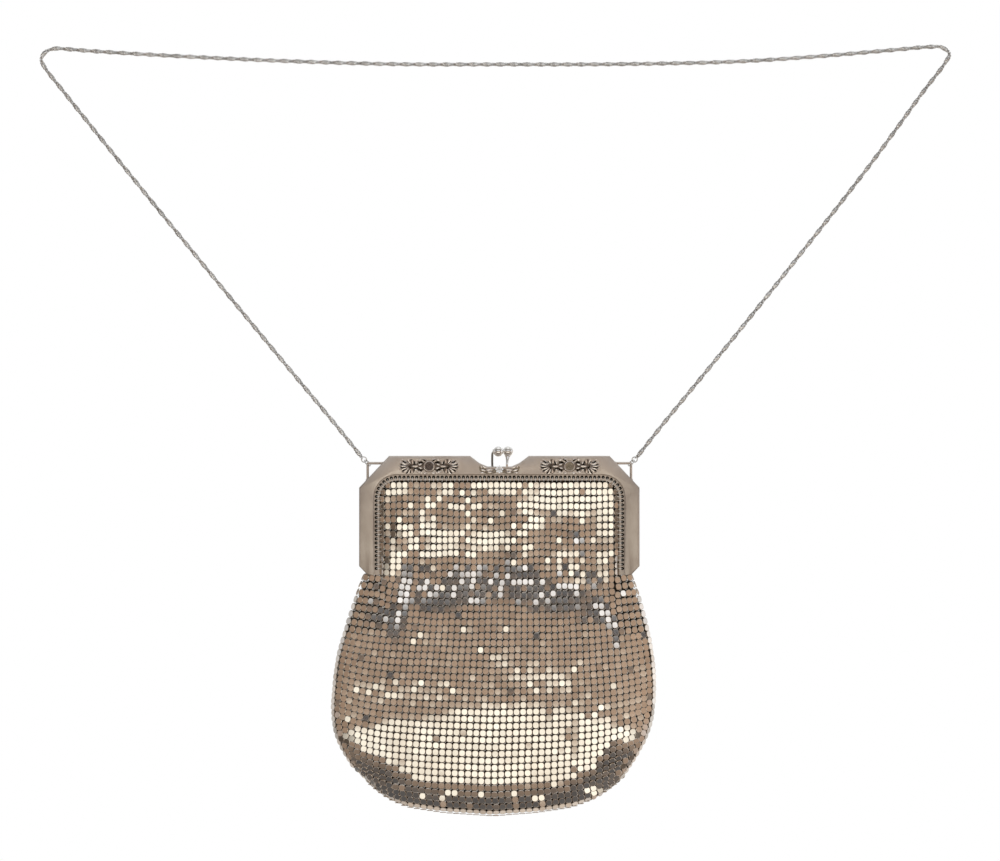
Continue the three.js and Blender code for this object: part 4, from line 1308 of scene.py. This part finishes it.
def plate_lean(x, z, natural, chance):
    """Lean in degrees at places on the pouch. Natural is the lean of the shape itself."""
    across, top, bottom = np.array(crescent).T
    upper, lower = np.interp(x, across, top), np.interp(x, across, bottom)
    into = np.clip((upper + 1.0 - z) / 3.5, 0, 1)
    lean = upright + into * (-3.6 - upright)
    deep = np.clip((upper - z) / np.maximum(upper - lower, 1), 0, 1)
    lean = np.where(into >= 1, -3.6 - 2.2 * deep, lean)
    past = np.clip((lower - z) / 6, 0, 1.5)
    lean = np.where(z < lower, -12 - 9 * past, lean)
    steep = np.clip((-natural - 14) / 14, 0, 1)
    lean = lean + steep * (natural - lean)
    return crease(crease(lean, x, z, creases, chance), x, z, high_creases, chance)


# %% [markdown]
# ## Rows and columns of plates
# Flat mesh is a square grid of plates: rows down the pouch, and columns that start under the
# frame and run down to the bottom edge. The columns are counted from the middle by the length of
# the row, which turns the outer ones round the side of the pouch, as on the real purse.

# %% Grid of plates
row_pitch = 3.17
first_row_drop = 1.9
plate_height = 0.965 * row_pitch
step_down = mouth - neck + side_rows[0][0] * bag_hang
shoulder_rows, shoulder_width, leg_tuck = 6, 4, 0.5
edge_reach, steepest_turn = 9, 0.5
share_reach, slope_reach = 0.002, 0.6
# Chance: spread of the lean, share and spread of stray plates, swing and turn, in degrees
lean_spread, stray_share, stray_spread, swing_spread, turn_spread = 0.75, 0.05, 4.0, 1.1, 1.3
fold_lean = -84
column_pitches = [(0, 2.62), (44, 2.66), (60, 2.75), (90, 2.95), (110, 3.03), (160, 3.05)]
edge_columns = 6


def row_heights(side):
    """Distances below the mouth of the rows, spaced evenly by length. The front's last row is the
    fold at the bottom, and the back's starts next to it."""
    down = np.linspace(0, pouch_height, 2001)
    line = pouch_point(0.5, down, side)
    length = np.concatenate([[0], np.cumsum(np.linalg.norm(np.diff(line, axis=0), axis=1))])
    reach = length[-1] - first_row_drop
    count = round(reach / row_pitch)
    marks = np.linspace(first_row_drop, length[-1], count + 1)
    return np.interp(marks if side < 0 else marks[:-1], length, down)


def row_columns(down, side):
    """Numbers of the columns in a row and their shares across."""
    shares = (1 - np.cos(np.linspace(0, np.pi, 721))) / 2
    line = pouch_point(shares, down, side)
    length = np.concatenate([[0], np.cumsum(np.linalg.norm(np.diff(line, axis=0), axis=1))])
    middle = np.interp(0.5, shares, length)
    pitch = np.interp(down, *np.array(column_pitches).T)
    start = 0.5 if side < 0 else 0.0
    numbers, places = [], []
    for way in (-1, 1):
        reach = middle if way < 0 else length[-1] - middle
        count = max(int(round(reach / pitch - 0.5 - start)), 1)
        steps = np.arange(count + 1) + start
        steps = steps[steps > 0] if way < 0 else steps
        spots = steps * pitch
        spare = reach - spots[-1] - pitch / 2
        near_edge = np.clip((steps - steps[-1] + edge_columns) / edge_columns, 0, 1)
        spots = spots + spare * near_edge ** 1.5
        numbers.append(way * steps)
        places.append(middle + way * spots)
    numbers = np.concatenate(numbers)
    return numbers, np.interp(np.concatenate(places), length, shares), pitch


def lay_sheet(side, chance):
    """All plates of a sheet: row, column, place, directions of the sheet and pitch."""
    rows = []
    for row, down in enumerate(row_heights(side)):
        numbers, shares, pitch = row_columns(down, side)
        spot = pouch_point(shares, down, side)
        across = (pouch_point(shares + share_reach, down, side)
                  - pouch_point(shares - share_reach, down, side))
        # The pouch widens in a step below the legs, which no slope is measured over
        top, low = down - slope_reach, down + slope_reach
        if down > step_down:
            top = max(top, step_down + 0.1)
        else:
            low = min(low, step_down - 0.1)
        upward = pouch_point(shares, top, side) - pouch_point(shares, low, side)
        across *= -side / np.linalg.norm(across, axis=1, keepdims=True)
        out = np.cross(across, upward)
        out /= np.linalg.norm(out, axis=1, keepdims=True)
        # Near a side the columns run along the outline, so the plates turn with its slope
        turn = np.zeros(len(numbers))
        for line in (profile_left, profile_right):
            at_top, here, at_low = np.interp([top, down, low], profile_down, line)
            slope = (at_low - at_top) / (low - top) if down > step_down else 0
            near = np.clip(1 - np.abs(spot[:, 0] - here) / edge_reach, 0, 1)
            gentle = np.clip((1.6 - abs(slope)) / 0.4, 0, 1)
            turn -= side * near * gentle * np.clip(np.arctan(slope), -steepest_turn, steepest_turn)
        same = np.ones(len(numbers))
        rows.append({"row": (row * same).astype(int), "column": numbers, "spot": spot,
                     "across": across, "out": out, "pitch": pitch * same, "down": down * same,
                     "turn": turn})
    grid = {key: np.concatenate([part[key] for part in rows]) for key in rows[0]}
    natural = np.degrees(np.arcsin(np.clip(grid["out"][:, 2], -1, 1)))
    x, z = -side * grid["spot"][:, 0], grid["spot"][:, 2]
    count = len(x)
    jitter = chance.normal(0, lean_spread, count)
    stray = chance.random(count) < stray_share
    jitter = np.where(stray, chance.normal(0, stray_spread, count), jitter)
    lean = plate_lean(x, z, natural, chance)
    # Plates that face sideways follow the outline
    edge_on = np.clip((np.abs(grid["out"][:, 0]) - 0.5) / 0.3, 0, 1)
    lean += edge_on * (natural - lean)
    lean = np.radians(np.where(grid["down"] > pouch_height - 0.01, fold_lean, lean) + jitter)
    flat = grid["out"] * (1, 1, 0)
    flat /= np.linalg.norm(flat, axis=1, keepdims=True) + 1e-9
    swing = chance.normal(0, np.radians(swing_spread), count) * (1 + 4 * grid["out"][:, 0] ** 2)
    flat = flat + np.tan(swing)[:, None] * grid["across"]
    flat /= np.linalg.norm(flat, axis=1, keepdims=True)
    grid["face"] = flat * np.cos(lean)[:, None] + np.array([0, 0, 1]) * np.sin(lean)[:, None]
    inside = np.clip((grid["spot"][:, 2] - pouch_bottom) / 20, 0, 1)
    inside *= np.clip((mouth - z) / 8, 0, 1)
    sway = 0.35 * np.sin(x / 7.0 + z / 11.0) + 0.25 * np.sin(x / 3.1 - z / 5.0 + 1.0)
    shoulder_end = opening_half - flange_width
    outer = np.clip((np.abs(x) - shoulder_end + shoulder_width) / shoulder_width, 0, 1)
    grid["spot"][:, 2] += inside * sway * np.clip((z + 300) / 60, 0, 1) * (1 - outer)
    # Beside the frame the rows are drawn up to the ends of its legs
    below = grid["down"] > step_down
    first_down = grid["down"][below].min()
    lift = max(leg_end + leg_tuck - plate_height / 2 - (mouth - first_down), 0)
    fade = np.clip(1 - (grid["down"] - first_down) / (shoulder_rows * row_pitch), 0, 1)
    grid["spot"][:, 2] += lift * outer * fade * below
    grid["turn"] *= 1 - edge_on
    grid["turn"] += chance.normal(0, np.radians(turn_spread), count)
    return grid


chance = np.random.default_rng(7)
front_sheet = lay_sheet(-1, chance)
back_sheet = lay_sheet(1, chance)
print("plates:", len(front_sheet["row"]), "in front and", len(back_sheet["row"]), "behind")

# %% [markdown]
# ## One plate
# A plate is a small square of silvered brass with rounded corners and a slightly crowned face. It
# starts as a plane. Its corners are bevelled, it is extruded to its thickness, and its face is
# inset and raised. It has only a few dozen faces, because there are almost five thousand copies.


# %% Plate
# Shares of the plate's width, and heights in millimetres
corner_share, rim_share = 0.36, 0.075
plate_wall, plate_rise, plate_crown = 0.2, 0.14, 0.012


def make_plate():
    """Plate 1 wide and 1 high in the XZ plane, which faces -Y."""
    bpy.ops.object.select_all(action="DESELECT")
    bpy.ops.mesh.primitive_plane_add(size=1, rotation=(math.radians(90), 0, 0))
    piece = bpy.context.object
    bpy.ops.object.transform_apply(location=False, rotation=True, scale=False)
    edit(piece)
    bpy.ops.mesh.bevel(offset=corner_share, segments=2, affect="VERTICES")
    bpy.ops.mesh.select_all(action="SELECT")
    bpy.ops.mesh.extrude_region_move(TRANSFORM_OT_translate={"value": (0, -plate_wall, 0)})
    bpy.ops.mesh.inset(thickness=rim_share, depth=0)
    bpy.ops.transform.translate(value=(0, -plate_rise, 0))
    bpy.ops.mesh.poke(offset=plate_crown)
    close_up()
    piece.data.materials.append(plate_silver)
    piece.data.materials.append(plate_edge_shade)
    # The shoulders get the darker edge metal: painted shade along the gaps between plates.
    for face in piece.data.polygons:
        face.material_index = 0 if face.normal.y < -0.99 else 1
    return piece


plate_pattern = make_plate()
print("faces of a plate:", len(plate_pattern.data.polygons))


# %% Plates of a sheet
plate_share, widest_plate = 0.98, 2.96


def sheet_places(grid):
    """Matrices that put a plate at every place of a sheet."""
    face = grid["face"]
    across = grid["across"] - (grid["across"] * face).sum(1, keepdims=True) * face
    across /= np.linalg.norm(across, axis=1, keepdims=True)
    turn = grid["turn"][:, None]
    across = across * np.cos(turn) + np.cross(face, across) * np.sin(turn)
    upward = np.cross(face, across)
    width = np.minimum(plate_share * grid["pitch"], widest_plate)[:, None]
    return frames_of(across * width, -face, upward * plate_height, grid["spot"])


for name, grid in (("mesh_front", front_sheet), ("mesh_back", back_sheet)):
    tones = np.clip(chance.normal(0.97, 0.05, len(grid["row"])), 0.8, 1.06)
    sheet = repeat(name, plate_pattern, sheet_places(grid), tones)
    finish_piece(sheet, name, plate_silver, ["mesh_bag"], angle=math.radians(15))
bpy.data.objects.remove(plate_pattern)

# %% [markdown]
# ## Inside of the mesh
# Behind the plates lie their folded prongs and the other half of the mesh, so the gaps look dark
# from every side. One dark shell, open at the mouth, stands for that: a black sheet of painted shade
# in place of the shaded prongs and the mesh beyond. It is made of two grids that are laid on the
# pouch's shape a little further in and joined at their edges. A narrow strip of it goes on behind
# the holes of each flange, as painted shade in the holes.

# %% Inside of the mesh
inside_depth, inside_end, inside_wall = 0.85, 0.6, 0.1
hem_front, hem_back, hem_reach = 3.32, 3.12, 0.9


def make_inside(side):
    """Sheet of painted shade just behind the plates of one side."""
    bpy.ops.object.select_all(action="DESELECT")
    bpy.ops.mesh.primitive_grid_add(x_subdivisions=48, y_subdivisions=72, size=1,
                                    location=(0.5, 0.5, 0))
    sheet = bpy.context.object
    bpy.ops.object.transform_apply(location=True, rotation=False, scale=False)
    points = read_mesh(sheet.data)[0]
    share = points[:, 0]
    down = (pouch_height - inside_end) * (1 - points[:, 1])
    spots = pouch_point(share, down, side)
    spots[:, 0] += (1 - 2 * share) * inside_end
    hollow = 0.05 * np.sin(np.pi * share) * np.clip(points[:, 1] / 0.02, 0, 1)
    spots[:, 1] = side * np.maximum(side * spots[:, 1] - inside_depth, hollow)
    spots[:, 1] *= points[:, 1] > 0
    sheet.data.vertices.foreach_set("co", spots.ravel())
    return sheet


shell = join_pieces([make_inside(-1), make_inside(1)])
edit(shell)
close_up(merge=1e-3)
wall = shell.modifiers.new("wall", "SOLIDIFY")
wall.thickness = inside_wall
bpy.ops.object.modifier_apply(modifier=wall.name)
hem = band(opening_edge(-step_thickness / 2), opening_edge(flange_width + hem_reach))
hems = [plate("hem", [hem], side * hem_front, side * hem_back) for side in (-1, 1)]
# The shell and hems are painted shade: black sheets in place of the shadow behind the plates and
# holes.
finish_piece(join_pieces([shell] + hems), "mesh_inside_shade", black_tarnish_and_shade, ["mesh_bag"])

# %% [markdown]
# ## Link rings
# Behind every corner where four plates meet, a small ring holds their folded prongs. The rings show
# as specks of light and shade in the gaps. Another row of rings joins the mesh to the flange: each
# passes through a hole and round the flange's edge.


# %% Rings behind the plates
corner_ring, corner_wire, ring_depth, ring_aside = 0.42, 0.14, 0.05, 0.4
widest_group = 1.7 * row_pitch


def ring_places(grid, depth, aside):
    """Places of the rings between each four neighbouring plates, set a little up and aside, so
    that half of each gap shows wire and half stays dark."""
    index = {(row, column): i for i, (row, column) in enumerate(zip(grid["row"], grid["column"]))}
    places = []
    for (row, column), i in index.items():
        others = (row, column + 1), (row + 1, column), (row + 1, column + 1)
        group = [i] + [index.get(key) for key in others]
        if None in group:
            continue
        if np.ptp(grid["spot"][group, 2]) > widest_group:
            continue
        out = grid["out"][group].mean(0)
        out /= np.linalg.norm(out)
        across = grid["across"][i] - grid["across"][i].dot(out) * out
        across /= np.linalg.norm(across)
        upward = np.cross(out, across)
        spot = grid["spot"][group].mean(0) - depth * out + aside * (upward - across)
        places.append((across, -out, upward, spot))
    return frames_of(*np.array(places).swapaxes(0, 1))


for name, grid in (("rings_front", front_sheet), ("rings_back", back_sheet)):
    link = make_ring("link", corner_ring, corner_wire, 8, 4)
    rings = repeat(name, link, ring_places(grid, ring_depth, ring_aside))
    bpy.data.objects.remove(link)
    finish_piece(rings, name, link_wire, angle=math.radians(70))


# %% Rings in the flange
link_radius, link_thickness = 1.0, 0.14


def flange_ring_places(side):
    """Places of the rings that pass through the link holes of a half."""
    holes = hole_spots if side < 0 else back_spots
    way_x, way_z = hole_ways[:len(holes)].T
    level = np.zeros(len(holes))
    way = np.stack([way_x, level, way_z], axis=1)
    inwards = np.stack([way_z, level, -way_x], axis=1)
    middle = level + side * (flange_front + flange_back) / 2
    spots = np.stack([holes[:, 0], middle, holes[:, 1]], axis=1) + link_radius * inwards
    return frames_of(inwards, way, np.cross(inwards, way), spots)


link = make_ring("link", link_radius, link_thickness, 12, 5)
flange_places = np.concatenate([flange_ring_places(-1), flange_ring_places(1)])
flange_rings = repeat("flange_rings", link, flange_places)
bpy.data.objects.remove(link)
finish_piece(flange_rings, "flange_rings", link_wire, angle=math.radians(70))
